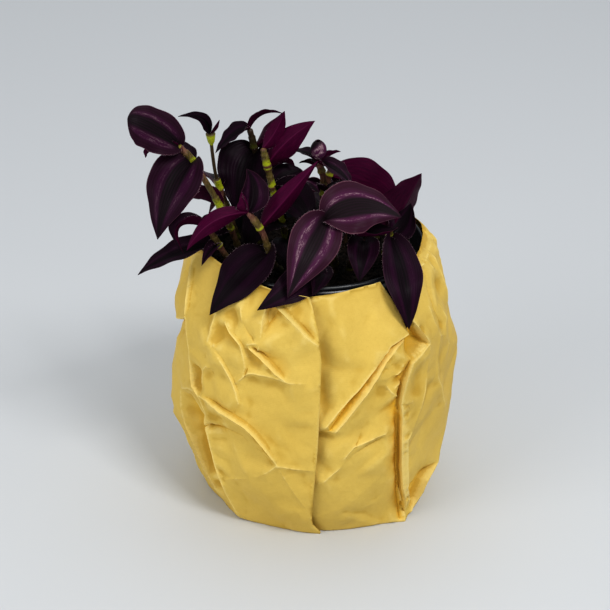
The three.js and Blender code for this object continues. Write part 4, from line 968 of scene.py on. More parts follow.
def kraft_paper():
    """Yellow paper, with painted glow and painted shade in its hollows and between close folds, and paler
    ridges that are partly worn creases and partly painted highlight.
    """
    material, tree, shader = new_material("yellow_kraft_paper", Specular_IOR_Level=0.22)
    sheet_map = add(tree, "ShaderNodeUVMap", uv_map="sheet")
    along = add(tree, "ShaderNodeSeparateXYZ", {0: sheet_map})
    place = add(tree, "ShaderNodeTexCoord").outputs["Object"]
    tint = cloudy(tree, place, 16.0)
    plain = mixed(tree, tint, (0.655, 0.447, 0.09), (0.73, 0.516, 0.118))
    # Painted glow and painted shade: hollows are painted orange for the light the paper throws into them,
    # and the deepest ones brown for the shade in them.
    hollow = value_of(tree, "hollow")
    deep = mixed(tree, ramp(tree, hollow, 0.7, 3.4, 0.0, 0.6), plain, (0.79, 0.465, 0.022))
    deep = mixed(tree, ramp(tree, hollow, 3.6, 7.0, 0.0, 0.8), deep, (0.30, 0.19, 0.03))
    # Painted glow: close folds are painted bright orange for the yellow light their sides throw on each
    # other.
    deep = mixed(tree, product(tree, value_of(tree, "narrow"), 0.7), deep, (0.95, 0.52, 0.012))
    # Painted shade: the paper is painted darker in small valleys, where it bends inwards.
    bend = value_of(tree, "bend")
    valley_shade = ramp(tree, bend, 0.05, 0.32, 0.0, 0.6)
    deep = mixed(tree, valley_shade, deep, (0.50, 0.29, 0.026))
    # Paler ridges: fold creases that are partly worn paler and partly painted highlight, and painted
    # highlight where the paper bends outwards.
    ridge = worked(tree, "ADD", value_of(tree, "crease"), ramp(tree, bend, -0.32, -0.06, 0.8, 0.0))
    colour = mixed(tree, product(tree, ridge, 0.4), deep, (0.88, 0.70, 0.26))
    mottle = cloudy(tree, place, 420.0, detail=2.0)
    colour = mixed(tree, product(tree, mottle, 0.16), colour, (0.55, 0.34, 0.055))
    flecks = worked(tree, "POWER", cloudy(tree, place, 1600.0, detail=1.0), 5.0)
    colour = mixed(tree, product(tree, flecks, 0.12), colour, (0.42, 0.26, 0.05))
    roughness = cloudy(tree, place, 60.0, 0.52, 0.68)
    ribs = ridges(tree, along.outputs[1], LAID_RIBS, product(tree, tint, 0.4))
    fibres = cloudy(tree, place, 700.0, detail=2.0)
    height = worked(tree, "MULTIPLY_ADD", fibres, 0.45, product(tree, ribs, 0.55))
    # Small facets: each cell of the paper leans its own way, most of all near the folds.
    folded = ramp(tree, value_of(tree, "rough"), 0.8, 1.8, 0.35, 1.0)
    surface = add(tree, "ShaderNodeNewGeometry").outputs["Normal"]
    for scale in FACET_SCALES:
        cells = add(tree, "ShaderNodeTexVoronoi", {"Vector": place, "Scale": scale})
        leaning = add(tree, "ShaderNodeVectorMath", {0: cells.outputs["Color"]}, operation="SUBTRACT")
        leaning.inputs[1].default_value = (0.5, 0.5, 0.5)
        much = add(tree, "ShaderNodeVectorMath", {0: leaning.outputs[0]}, operation="SCALE")
        tree.links.new(product(tree, folded, FACET_TILT), much.inputs["Scale"])
        both = add(tree, "ShaderNodeVectorMath", {0: surface, 1: much.outputs[0]}, operation="ADD")
        surface = both.outputs[0]
    creased = add(tree, "ShaderNodeVectorMath", {0: surface}, operation="NORMALIZE")
    surfaced(tree, shader, colour, height, 0.4, 0.0001, roughness=roughness, normal=creased)
    return material


places, points, faces, sharp, values = paper_sheet()

# The foot of the sheet goes on under the pot as one flat layer.
on_foot = np.nonzero((places[:, 1] < 0.01) & (places[:, 0] > -90 * SHEET_SCALE))[0]
on_foot = on_foot[np.argsort(places[on_foot, 0])]
FLOOR_RINGS = [(0.97, 0.25), (0.85, 0.4), (0.6, 0.4), (0.3, 0.4)]
ring_before = on_foot
floor_points, floor_faces = [], []
for share, height in FLOOR_RINGS:
    ring = len(points) + len(floor_points) + np.arange(len(on_foot))
    floor_points += [(x * share, y * share, height) for x, y, _ in points[on_foot]]
    for i in range(len(on_foot)):
        k = (i + 1) % len(on_foot)
        floor_faces.append((ring_before[i], ring[i], ring[k], ring_before[k]))
    ring_before = ring
floor_points.append((0, 0, FLOOR_RINGS[-1][1]))
middle_of_floor = len(points) + len(floor_points) - 1
for i in range(len(on_foot)):
    floor_faces.append((ring_before[i], middle_of_floor, ring_before[(i + 1) % len(on_foot)]))
wrap = piece("kraft_paper_sheet", [*points, *floor_points], [*faces, *floor_faces], kraft_paper())
under = np.zeros(len(floor_points))
with_values(wrap, **{name: np.append(numbers, under) for name, numbers in values.items()})
flat_map = np.vstack([places, [(x, y / 2) for x, y, _ in floor_points]])
flat_map = (flat_map - flat_map.min(0)) / np.array(SHEET_SIZE)
with_map(wrap, "sheet", flat_map)
for edge in wrap.data.edges:
    if tuple(sorted(edge.vertices)) in sharp:
        edge.use_edge_sharp = True
thickness = wrap.modifiers.new("thickness", "SOLIDIFY")
thickness.thickness = PAPER_THICK / 1000
thickness.offset = -1
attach(wrap, "root")
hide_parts("paper_wrap")


# ---------------------------------------------------------------------------------- stalks
# Fifteen stalks that stand in the soil, each a chain of juicy round internodes. At every node a
# stalk swells, and above the node the closed sheath of the leaf wraps it: yellow-green low down,
# browner and pinker towards the next node.

STEM_FOOT = 131.5
STEM_RISE = [135, 140, 145.5]

# The plant. A stem's path starts at the soil and goes on through (x, y, z). A leaf is where it grows
# on the stem (0 at the foot, 1 at the top), its tip, how far its middle bows, the way its upper side
# faces, its width, its fold and curl in degrees, and how strong its two silvery bands are. A ninth
# number is painted shade: how much darker the leaf is painted than the others, for the shade deep
# in the plant. A tenth says that its tip is blunt.
# Some stems have more: nodes without a leaf, a funnel at the tip so many millimetres long, how far
# the colour goes from lime towards brown and pink, the least shade on the stalk, and leaves that
# are still rolled up: foot, tip, radius, turns of the roll and how strong the bands are.
LEAFY_STEMS = {
    "tall_left": {
        "path": [(-40, -8), (-50.5, -16, 179), (-60.5, -20, 201), (-67, -24, 214), (-73, -26, 221)],
        "leaves": [
            (0.98, (-96.8, -40, 241.1), (0, -4, 5), (0.1, -0.75, 0.65), 25, -6, -34, 0.42, 0, 1),
            (0.98, (-89, -34, 217), (-4, -3, 3), (0.2, 0.3, 0.9), 11, 30, 40, 0.15, 0.3),
            (0.86, (-88, -12, 213), (0, 2, 3), (0.1, 0.25, 0.95), 17, 14, 20, 0.1, 0.4),
            (0.86, (-83, -50, 177), (-2, -7, 8), (-0.25, -0.8, 0.5), 31, 10, -22, 0.26),
            (0.52, (-75.2, -11, 181.2), (-1, 1, 4), (-0.25, 0.75, 0.6), 20, 12, 16, 0.1, 0.5),
            (0.36, (-63, -17, 160), (-3, 0, 4), (-0.4, -0.6, 0.7), 18, 14, 16, 0.1, 0.6),
        ],
    },
    "bud_left": {
        "funnel": 7,
        "path": [(-42, 4), (-47, 3, 168), (-53.4, -2, 190.7), (-55.3, -5.5, 207.5), (-56, -7.5, 220.5)],
        "leaves": [
            (1, (-73.2, -7, 229.8), (3.5, 0, 3.5), (-0.35, -0.5, 0.75), 8.5, 30, 14, 0.05, 0.6),
            (1, (-50.9, -8, 228.2), (0.5, 0, 0.5), (0.8, 0.3, 0.5), 3.4, 30, 20, 0, 0.6),
            (0.6, (-54, 36, 168), (-2, 3, 8), (-0.1, 0.5, 0.9), 24, 12, 20, 0.2),
        ],
    },
    "low_left": {
        "path": [(-43, -22), (-47, -26, 154), (-53, -31, 167), (-57, -35, 177)],
        "leaves": [
            (1, (-70, -44, 166), (-8, -2, 9), (-0.5, -0.1, 0.85), 15, 30, 20, 0.15, 0.2),
            (0.7, (-95, -44, 153), (-2, -2, 4), (-0.3, -0.3, 0.9), 20, 10, 10, 0.15, 0.4),
            (0.7, (-60, -51, 162), (0, -1, 3), (0.4, 0.5, 0.8), 10, 30, 20, 0.1),
        ],
    },
    "front": {
        "path": [(-18, -24), (-21, -28, 150), (-24, -32, 160), (-28, -38, 176), (-35, -42, 189)],
        "leaves": [
            (1, (-67, -60, 175), (-3, -1, 5.5), (0.25, 0.9, -0.25), 14, 30, 14, 0.2),
            (1, (-38.6, -43, 201.1), (1, -1, 0), (-0.7, 0.5, 0.3), 12, 30, 20, 0.2),
            (1, (-35.9, -33, 210.1), (3, 2, 0), (0.3, -0.85, 0.4), 19, 18, 20, 0.2),
            (0.8, (2, -30, 213.4), (-1, -4, 0.5), (-0.1, 0.93, -0.3), 17, 36, 16, 0.2),
            (0.5, (-56, -58, 136), (0.5, -8, 8), (-0.5, -0.75, 0.4), 29, 8, -14, 0.06, 0.5),
        ],
    },
    "low_front": {
        "path": [(-2, -28), (0, -35, 150), (3, -44, 156)],
        "leaves": [
            (0.95, (-30, -74, 147), (3, -5, 4.5), (0, -0.7, 0.7), 21, 6, -10, 0.12, 0.3),
            (0.7, (-1, -73, 155), (3, -2, 5), (0.2, -0.5, 0.85), 16, 12, 12, 0.12, 0.4),
        ],
    },
    "upper_middle": {
        "nodes": [0.84],
        "lime": 0.4,
        "path": [(-14, 4), (-18, 0, 165), (-22, -4, 183.8), (-24.6, -7, 197), (-27.6, -10, 212.8)],
        "leaves": [
            (1, (-15.8, -12, 234.8), (1, 2, -1.5), (0.05, 0.88, -0.45), 11, 14, 16, 0.2),
            (0.87, (0.4, -15, 230.3), (-1.5, 0, 1.5), (0.05, 0.88, -0.45), 17, 14, 16, 0.2),
            (0.7, (-6, 2, 194.4), (0, 1, 2), (0.2, -0.6, 0.75), 15, 12, 12, 0.1, 0.5),
            (0.84, (-10.5, -2, 199), (1, 1, 2.5), (-0.1, 0.5, 0.85), 11, 20, 16, 0.1, 0.4),
            (0.62, (-3, -26, 172), (3, -2, 6), (0.3, -0.8, 0.5), 26, 12, 12, 0.06, 0.8),
            (0.4, (-36, -14, 152), (-3, -3, 9), (-0.4, -0.7, 0.6), 25, 12, 12, 0.05, 0.8),
            (0.25, (-9, -36, 147), (0, -3, 6), (-0.1, -0.8, 0.6), 20, 12, 12, 0.05, 0.7),
        ],
    },
    "dark_back": {
        "shade": 0.85,
        "path": [(-30, 18), (-31.8, 17, 191.9), (-33.7, 12, 207.6), (-35.4, 9, 216.5)],
        "leaves": [
            (1, (-54.2, 4, 204.3), (0, 0, 2.4), (-0.5, -0.35, 0.8), 15, 12, 14, 0.08, 0.3),
            (1, (-17, 11, 224.8), (-2, 0, 4), (-0.3, 0.3, 0.9), 8, 30, 20, 0.1, 0.6),
            (0.85, (-16.3, 0, 230), (1.5, -1, -1), (0, 0.88, -0.45), 12, 14, 16, 0.2, 0.35),
            (0.8, (-42, -8, 171), (-1, -2, 7), (-0.3, -0.85, 0.5), 35, 6, 8, 0.06, 0.6),
            (0.6, (-11.1, 20, 176.6), (-1, 2, 2), (0.1, -0.9, 0.4), 24, 10, 10, 0.05, 0.8),
            (0.5, (-28, 50, 158), (0, 3, 8), (0.1, 0.5, 0.85), 22, 12, 14, 0.4),
        ],
    },
    "middle": {
        "path": [(5, 6), (5, 4, 170), (5, 1, 191), (3, -1, 200)],
        "rolled": [((3, -2, 203.6), (2.2, -4, 214.6), 4.8, 1.35, 1.9)],
        "leaves": [
            (1, (-13.5, 8, 203.9), (0, 1, 2), (-0.2, 0.2, 0.95), 14, 10, 12, 0.12, 0.5),
            (1, (21, -15, 192), (1, -1, 2), (0.4, -0.1, 0.9), 18, 16, -10, 0.2),
            (1, (14.7, 6, 204.4), (0, 1, 1), (0, 0.4, 0.9), 9, 30, 20, 0.15, 0.1),
            (0.92, (-8.2, 8, 196.7), (0, 1, 2), (-0.1, 0.3, 0.9), 9, 24, 20, 0.1, 0.5),
            (0.7, (19, -16, 177), (2, -1, 7), (0.5, -0.5, 0.7), 22, 14, 14, 0.06, 0.7),
            (0.42, (-9, 40, 160), (0, 2, 8), (0, 0.5, 0.85), 18, 12, 14, 0.3, 0.4),
            (0.34, (8, -25, 153), (2, -3, 7), (0.3, -0.8, 0.55), 19, 12, 12, 0.05, 0.7),
        ],
    },
    "back_right": {
        "path": [(18, 20), (15, 18, 164), (10, 15, 177), (8, 13, 185), (11, 13, 193)],
        "leaves": [
            (0.9, (48, 3, 172), (5, 2, 0.5), (0.1, 0.95, 0.05), 31, 6, 10, 0.2, 0.1),
            (0.6, (30, 44, 158), (0, 3, 7), (0.2, 0.5, 0.85), 23, 12, 16, 0.4),
            (0.6, (37, 2, 160), (3, 0, 8), (0.3, -0.6, 0.75), 22, 12, 16, 0.05, 0.7),
        ],
    },
    "front_right": {
        "path": [(12, -20), (11, -26, 155), (10, -32, 168), (6, -40, 184)],
        "leaves": [
            (1, (-14, -73, 154), (1.5, -5, 6), (0.1, -0.85, 0.55), 28, 8, -26, 0.9),
            (1, (46, -44, 187), (0, 0, 7), (0.05, -0.62, 0.78), 33, 4, -34, 1),
            (0.9, (45, -37, 178), (2, -3, -4), (0, -0.2, 0.97), 22, 24, 40, 0.15, 0.2),
        ],
    },
    "low_right": {
        "path": [(20, -18), (22, -25, 154), (27, -33, 168)],
        "leaves": [
            (1, (24, -58, 156), (0, -5, 5), (0, -0.85, 0.5), 19.5, 10, 14, 0.12, 0.2),
        ],
    },
    "right": {
        "path": [(39, -8), (41, -16, 159), (41.5, -20, 170)],
        "leaves": [
            (0.86, (50.8, -63, 130), (1.5, -16, 8), (0.35, -0.9, 0.3), 24.5, 8, -14, 0.1),
            (0.86, (58.7, -8, 197.1), (1, 3, 1), (-0.4, 0.88, 0.1), 27, 18, 16, 0.2, 0.55),
            (0.86, (53.2, -12, 181.3), (2, 0, -3), (-0.35, -0.8, 0.45), 21, 12, 14, 0.1, 0.3),
        ],
    },
    "rear_left": {
        "path": [(-24, 40), (-28, 45, 152), (-33, 51, 160)],
        "leaves": [
            (1, (-45, 85, 130), (-3, 6, 8), (-0.4, 0.7, 0.6), 27, 10, -14, 0.7),
            (0.8, (-62, 50, 146), (-4, 4, 8), (-0.6, 0.5, 0.7), 23, 12, -10, 0.5),
            (0.7, (-21, 76, 143), (0, 5, 8), (0.1, 0.6, 0.8), 18, 14, 16, 0.5),
        ],
    },
    "rear": {
        "path": [(8, 44), (9, 50, 151), (10, 57, 158)],
        "leaves": [
            (1, (8, 92, 128), (0, 6, 8), (0, 0.75, 0.6), 29, 10, -16, 0.8),
            (0.6, (-14, 74, 148), (-2, 5, 11), (-0.3, 0.6, 0.75), 20, 12, 14, 0.5),
        ],
    },
    "rear_right": {
        "path": [(36, 24), (39, 29, 155), (42, 34, 162)],
        "leaves": [
            (1, (57, 74, 128), (3, 7, 11), (0.5, 0.6, 0.6), 22, 10, -14, 0.7),
            (0.8, (33, 68, 150), (0, 4, 12), (-0.1, 0.6, 0.8), 18, 12, 12, 0.5),
        ],
    },
}


def smooth_line(points, count=24):
    """Points of a smooth curve through these ones (a centripetal Catmull-Rom spline), and how far along."""
    points = np.asarray(points, float)
    points = np.vstack([2 * points[0] - points[1], points, 2 * points[-1] - points[-2]])
    share = np.linspace(0, 1, count, endpoint=False)[:, None]
    rows = []
    for a, b, c, d in zip(points, points[1:], points[2:], points[3:]):
        before, between, after = (np.linalg.norm(q - p) ** 0.5 for p, q in ((a, b), (b, c), (c, d)))
        start = ((b - a) / before - (c - a) / (before + between) + (c - b) / between) * between
        end = ((c - b) / between - (d - b) / (between + after) + (d - c) / after) * between
        rows.append(
            b + start * share + (3 * (c - b) - 2 * start - end) * share ** 2
            + (2 * (b - c) + start + end) * share ** 3
        )
    line = np.vstack([*rows, points[-2:-1]])
    lengths = np.append(0, np.cumsum(np.linalg.norm(np.diff(line, axis=0), axis=1)))
    return line, lengths


def point_at(line, lengths, along):
    """The place on a line, or the places, so far along it."""
    return np.stack([np.interp(along, lengths, line[:, k]) for k in range(3)], axis=-1)


def stem_line(path):
    """A stem's smooth line: straight up out of the soil, then through the rest of its path."""
    (x, y), *rest = path
    return smooth_line([(x, y, z) for z in (STEM_FOOT, *STEM_RISE)] + list(rest))


STALK_RADIUS = 1.65
NODE_RADIUS = 2.35
SHEATH_LENGTH = 7.5
STALK_SIDES = 18
STALK_STEP = 0.55
LONGEST_FOOT = 24  # a lowest node higher up than this gets others below it
INTERNODE = 17
LOWEST_NODE = 12
FUNNEL_NECK = 30  # below a funnel the stalk is thin over this length
SHADE_TOP = 172  # the height where the shade between the leaves begins
SHADE_DEPTH = 26
DEEPEST_SHADE = 0.85


def stalk_tube():
    """A round tube along a line, as thick as the line's own attribute says, and closed at both ends."""
    tree, given, out = new_tree(
        "stalk_tube",
        "GeometryNodeTree",
        [("Geometry", "Geometry", None), ("Sides", "Int", 16), ("Finish", "Material", None)],
        [("Geometry", "Geometry")],
    )
    line = add(tree, "GeometryNodeMeshToCurve", {"Mesh": given.outputs[0]})
    radius = add(tree, "GeometryNodeInputNamedAttribute", {"Name": "thickness"}, data_type="FLOAT")
    ring = add(tree, "GeometryNodeCurvePrimitiveCircle", {"Resolution": given.outputs[1]})
    ring.inputs["Radius"].default_value = 1.0
    tube = add(
        tree, "GeometryNodeCurveToMesh",
        {"Curve": line, "Profile Curve": ring.outputs[0], "Scale": radius.outputs[0], "Fill Caps": True},
    )
    smooth = add(tree, "GeometryNodeSetShadeSmooth", {"Geometry": tube})
    real = add(tree, "GeometryNodeRealizeInstances", {"Geometry": smooth})
    finished = add(tree, "GeometryNodeSetMaterial", {"Geometry": real, "Material": given.outputs[2]})
    tree.links.new(finished.outputs[0], out.inputs[0])
    return tree


def stalk_flesh():
    """Lime just above a node, then brown and pink, with a dark ring at the node itself."""
    material, tree, shader = new_material("stalk_flesh", Specular_IOR_Level=0.2, Roughness=0.42)
    place = add(tree, "ShaderNodeTexCoord").outputs["Object"]
    rise = value_of(tree, "rise")
    streak = add(tree, "ShaderNodeMapping", {0: place})
    streak.inputs["Scale"].default_value = (1, 1, 0.16)
    streaks = cloudy(tree, streak.outputs[0], 1100.0, detail=2.0)
    patches = cloudy(tree, place, 210.0, detail=4.0)
    green = mixed(tree, patches, (0.33, 0.38, 0.01), (0.52, 0.56, 0.025))
    olive = mixed(tree, streaks, (0.06, 0.045, 0.014), (0.19, 0.135, 0.04))
    pink = mixed(tree, streaks, (0.07, 0.026, 0.02), (0.27, 0.125, 0.085))
    uneven = worked(tree, "MULTIPLY_ADD", patches, 0.3, rise)
    low = mixed(tree, ramp(tree, uneven, 0.16, 0.42), green, olive)
    colour = mixed(tree, ramp(tree, rise, 0.42, 0.85), low, pink)
    speckle = worked(tree, "GREATER_THAN", cloudy(tree, place, 620.0, detail=2.0), 0.83)
    colour = mixed(tree, product(tree, speckle, 0.5), colour, (0.06, 0.028, 0.012))
    ring = value_of(tree, "ring")
    colour = mixed(tree, product(tree, ring, 0.85), colour, (0.12, 0.035, 0.04))
    shaded = value_of(tree, "shaded")
    colour = mixed(tree, shaded, colour, (0.03, 0.022, 0.012))
    surfaced(tree, shader, colour, streaks, 0.25, 0.0002)
    return material


def hair_coat():
    """Fine hairs, scattered where the mesh's own attribute "hairy" is 1."""
    tree, given, out = new_tree(
        "hair_coat",
        "GeometryNodeTree",
        [
            ("Geometry", "Geometry", None), ("Hairs per square metre", "Float", 1000.0),
            ("Length", "Float", 0.0008), ("Seed", "Int", 1), ("Finish", "Material", None),
        ],
        [("Geometry", "Geometry")],
    )
    hairy = add(tree, "GeometryNodeInputNamedAttribute", {"Name": "hairy"}, data_type="FLOAT")
    chosen = add(
        tree, "FunctionNodeCompare", {0: hairy.outputs[0], 1: 0.75},
        data_type="FLOAT", operation="GREATER_THAN",
    )
    roots = add(
        tree, "GeometryNodeDistributePointsOnFaces",
        {
            "Mesh": given.outputs[0], "Selection": chosen, "Density": given.outputs[1],
            "Seed": given.outputs[3],
        },
    )
    hair = add(
        tree, "GeometryNodeMeshCone",
        {"Vertices": 3, "Radius Top": 0.0, "Radius Bottom": 0.00003, "Depth": given.outputs[2]},
    )
    lean = add(tree, "FunctionNodeRandomValue", {"Seed": 4}, data_type="FLOAT_VECTOR")
    lean.inputs[0].default_value = (-0.7, -0.7, 0)
    lean.inputs[1].default_value = (0.7, 0.7, 0)
    tilt = add(tree, "FunctionNodeEulerToRotation", {0: lean.outputs[0]})
    leaning = add(
        tree, "FunctionNodeRotateRotation", {0: roots.outputs["Rotation"], 1: tilt},
        rotation_space="LOCAL",
    )
    size = add(tree, "FunctionNodeRandomValue", {2: 0.5, 3: 1.2, "Seed": 6}, data_type="FLOAT")
    hairs = add(
        tree, "GeometryNodeInstanceOnPoints",
        {
            "Points": roots.outputs[0], "Instance": hair.outputs[0], "Rotation": leaning,
            "Scale": size.outputs[1],
        },
    )
    real = add(tree, "GeometryNodeRealizeInstances", {"Geometry": hairs})
    finished = add(tree, "GeometryNodeSetMaterial", {"Geometry": real, "Material": given.outputs[4]})
    tree.links.new(finished.outputs[0], out.inputs[0])
    return tree


STALK_TUBE = stalk_tube()
STALK_FLESH = stalk_flesh()
HAIR_COAT = hair_coat()
PALE_HAIR = new_material(
    "pale_hair", Base_Color=(0.5, 0.38, 0.42, 1), Roughness=0.5, Specular_IOR_Level=0.3,
)[0]
HAIR_LENGTH = 0.8
STALK_HAIRS = 400000.0  # to a square metre
LEAF_HAIRS = 8000000.0


def haired(made, node, dense, seed):
    """Gives a piece its coat of hairs, as a piece of its own."""
    hairs = made.copy()
    hairs.name = made.name + "_hairs"
    bpy.context.scene.collection.objects.link(hairs)
    grown(
        hairs, HAIR_COAT, Length=HAIR_LENGTH / 1000, Seed=seed, Finish=PALE_HAIR,
        **{"Hairs per square metre": dense},
    )
    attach(hairs, "root")
    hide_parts(node)


def stalk(name, stem):
    """One stalk with its nodes and sheaths, and with its funnel if it has one."""
    line, lengths = stem_line(stem["path"])
    total = lengths[-1]
    shares = [leaf[0] for leaf in stem["leaves"]] + stem.get("nodes", [])
    nodes = sorted({round(share * total, 2) for share in shares})
    while nodes[0] > LONGEST_FOOT:
        nodes.insert(0, max(nodes[0] - INTERNODE, LOWEST_NODE))
    along = np.arange(0, total + 0.3, STALK_STEP)
    along[-1] = total
    below = np.array([max((n for n in nodes if n <= a + 0.01), default=-10) for a in along])
    above = np.array([min((n for n in nodes if n > a + 0.01), default=total + 12) for a in along])
    rise = (along - below) / (above - below)
    nearest = np.minimum(along - below, above - along)
    swell = np.exp(-((nearest / 1.5) ** 2))
    sheath = ((along - below) < SHEATH_LENGTH) * (0.28 + 0.02 * (along - below))
    radius = STALK_RADIUS + sheath + (NODE_RADIUS - STALK_RADIUS - 0.2) * swell
    closing = np.clip((total - along) / 2.2, 0, 1)
    radius *= np.sqrt(1 - (1 - closing) ** 2 * 0.98)
    ring = np.exp(-((nearest / 0.75) ** 2))
    places = point_at(line, lengths, along)
    shaded = np.clip((SHADE_TOP - places[:, 2]) / SHADE_DEPTH, stem.get("shade", 0), DEEPEST_SHADE)
    if "funnel" in stem:
        funnel = stem["funnel"]
        neck = along > total - FUNNEL_NECK
        flare = np.clip((along - total + funnel) / funnel, 0, 1)
        radius = np.where(neck, 0.95 + 0.5 * np.minimum(4 * flare, 1) + 1.3 * flare ** 0.8, radius)
        radius *= np.where(along > total - 0.3, 0.6, 1)
        rise = np.where(flare > 0, 0, np.where(neck, 0.6, rise))
        shaded = np.maximum(shaded, np.where(flare > 0, np.clip(5 * flare - 4.2, 0, 0.9), 0.75 * neck))
    mesh = bpy.data.meshes.new(name)
    mesh.from_pydata(metres(places).tolist(), [(i, i + 1) for i in range(len(places) - 1)], [])
    made = bpy.data.objects.new(name, mesh)
    bpy.context.scene.collection.objects.link(made)
    hairy = ((along - below) > 1) & ((along - below) < SHEATH_LENGTH)
    rise = rise * stem.get("lime", 1)
    with_values(made, thickness=radius / 1000, rise=rise, ring=ring, shaded=shaded, hairy=hairy)
    grown(made, STALK_TUBE, Sides=STALK_SIDES, Finish=STALK_FLESH)
    return made


for order, (name, stem) in enumerate(LEAFY_STEMS.items()):
    made = stalk(name + "_stalk", stem)
    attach(made, "root")
    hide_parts("leafy_stem_" + name)
    haired(made, "leafy_stem_" + name, STALK_HAIRS, order)


# ---------------------------------------------------------------------------------- leaf blades
# Pointed, slightly fleshy blades that wrap their stalk at the base. The upper side is nearly black
# with two silvery purple bands, the lower side magenta. Each blade folds along its midrib and curls
# across, and its margins wave a little.

BLADE_ROWS = 46
BLADE_COLUMNS = 24
BLADE_THICK = 0.42
BLADE_MARGIN = 0.16
BASE_FOLD = 50
BASE_CURL = 20
ROW_SPREAD = 0.94  # rows and columns lie closer near the blade's ends and margins
COLUMN_SPREAD = 0.9
WAVE_HEIGHT = 0.028
GROOVE_DEPTH = 0.22
GROOVE_WIDTH = 0.9


def blade_share(t, blunt):
    """The share of its full width that a blade has, from its base (0) to its tip (1)."""
    body = np.sin(np.pi * (0.03 + 0.97 * t) ** 0.72).clip(1e-9) ** 0.85
    pointed = body * (1 - 0.22 * t * t)
    rounded = np.sqrt(np.clip(1 - np.abs(2 * t - 1) ** 2.3, 0, 1))
    return np.maximum(pointed + blunt * (rounded - pointed), 0.02)


def unit(v):
    """Directions of length 1."""
    return v / np.maximum(np.linalg.norm(v, axis=-1, keepdims=True), 1e-9)


def blade(base, leaf, random):
    """Upper and lower points of a blade, row by row, and its faces."""
    tip, bow, faces_way, width, fold, curl = leaf[1:7]
    blunt = leaf[9] if len(leaf) > 9 else 0
    tip, bow, faces_way = (np.array(v, float) for v in (tip, bow, faces_way))
    t = 1 - np.cos(np.linspace(0, np.pi, BLADE_ROWS + 1) * ROW_SPREAD)
    x = np.sin(np.linspace(-1, 1, BLADE_COLUMNS + 1) * np.pi / 2 * COLUMN_SPREAD)
    t, x = t / (1 - math.cos(np.pi * ROW_SPREAD)), x / math.sin(np.pi / 2 * COLUMN_SPREAD)
    T, X = np.meshgrid(t, x, indexing="ij")
    bend = (base + tip) / 2 + 2 * bow
    T3 = T[..., None]
    rib = (1 - T3) ** 2 * base + 2 * (1 - T3) * T3 * bend + T3 ** 2 * tip
    forward = unit((1 - T3) * (bend - base) + T3 * (tip - bend))
    side = unit(np.cross(forward, faces_way))
    up = unit(np.cross(side, forward))
    half = width / 2 * blade_share(T, blunt)
    at_base = (1 - T) ** 4
    f = np.radians(fold + (BASE_FOLD - fold) * at_base)
    c = np.radians(curl + (BASE_CURL - curl) * at_base)
    c = np.where(np.abs(c) < 1e-4, 1e-4, c)
    reach = np.abs(X)
    across = (np.sin(f + c * reach) - np.sin(f)) / c * half * np.sign(X)
    lift = (np.cos(f) - np.cos(f + c * reach)) / c * half
    waves, start = random.uniform(2.2, 3.6), random.uniform(0, 6.28, 2)
    wave = np.sin(2 * np.pi * waves * T + np.where(X < 0, *start))
    lift = lift + WAVE_HEIGHT * width * wave * reach ** 2.5 * np.sin(np.pi * T) ** 0.7
    groove = np.exp(-((X * half) / GROOVE_WIDTH) ** 2) * np.sin(np.pi * np.minimum(T + 0.12, 1))
    groove *= GROOVE_DEPTH
    middle = rib + side * across[..., None] + up * (lift - groove)[..., None]
    return thickened(middle, up, T, X)


def rolled(foot, tip, radius, turns):
    """A young leaf that is still rolled up round its midrib: egg-shaped, with a spiral seam."""
    foot, tip = np.array(foot, float), np.array(tip, float)
    t, x = np.linspace(0, 1, BLADE_ROWS + 1), np.linspace(-1, 1, BLADE_COLUMNS * 3 + 1)
    T, X = np.meshgrid(t, x, indexing="ij")
    axis = unit(tip - foot)
    side = unit(np.cross(axis, (0, 1, 0.2)))
    front = np.cross(axis, side)
    turn = 2 * np.pi * turns * (X + 1) / 2 + 1.6 * T - 0.4
    reach = radius * np.sin(np.pi * (0.06 + 0.9 * T)) ** 0.62 * (0.8 + 0.1 * (X + 1))
    out = side * np.cos(turn)[..., None] + front * np.sin(turn)[..., None]
    middle = foot + (tip - foot) * T[..., None] + out * reach[..., None]
    points, faces, flat = thickened(middle, out, T, X)
    flat[:, 0] = 0.5 + (flat[:, 0] - 0.5) * 0.6  # its bands come out, its margins stay in the roll
    return points, faces, flat


def thickened(middle, up, T, X):
    """The two sides of a blade, row by row, its faces and its map."""
    crosswise = np.gradient(middle, axis=1)
    lengthwise = np.gradient(middle, axis=0)
    normal = unit(np.cross(crosswise, lengthwise))
    normal = np.where(np.linalg.norm(normal, axis=-1, keepdims=True) < 0.5, up, normal)
    thick = (BLADE_THICK + (BLADE_MARGIN - BLADE_THICK) * np.abs(X) ** 1.5)[..., None] / 2
    upper, lower = middle + normal * thick, middle - normal * thick
    number = np.arange(X.size).reshape(X.shape)
    n = number.size
    a, b, c, d = number[:-1, :-1], number[:-1, 1:], number[1:, 1:], number[1:, :-1]
    top = np.stack([a, b, c, d], -1).reshape(-1, 4)
    bottom = np.stack([a, d, c, b], -1).reshape(-1, 4) + n
    rim = np.concatenate([number[0, :-1], number[:-1, -1], number[-1, :0:-1], number[:0:-1, 0]])
    after = np.roll(rim, -1)
    walls = np.stack([after, rim, rim + n, after + n], -1)
    points = np.vstack([upper.reshape(-1, 3), lower.reshape(-1, 3)])
    flat = np.column_stack([(X.ravel() + 1) / 2, T.ravel()])
    return points, np.vstack([top, bottom, walls]), np.vstack([flat, flat])


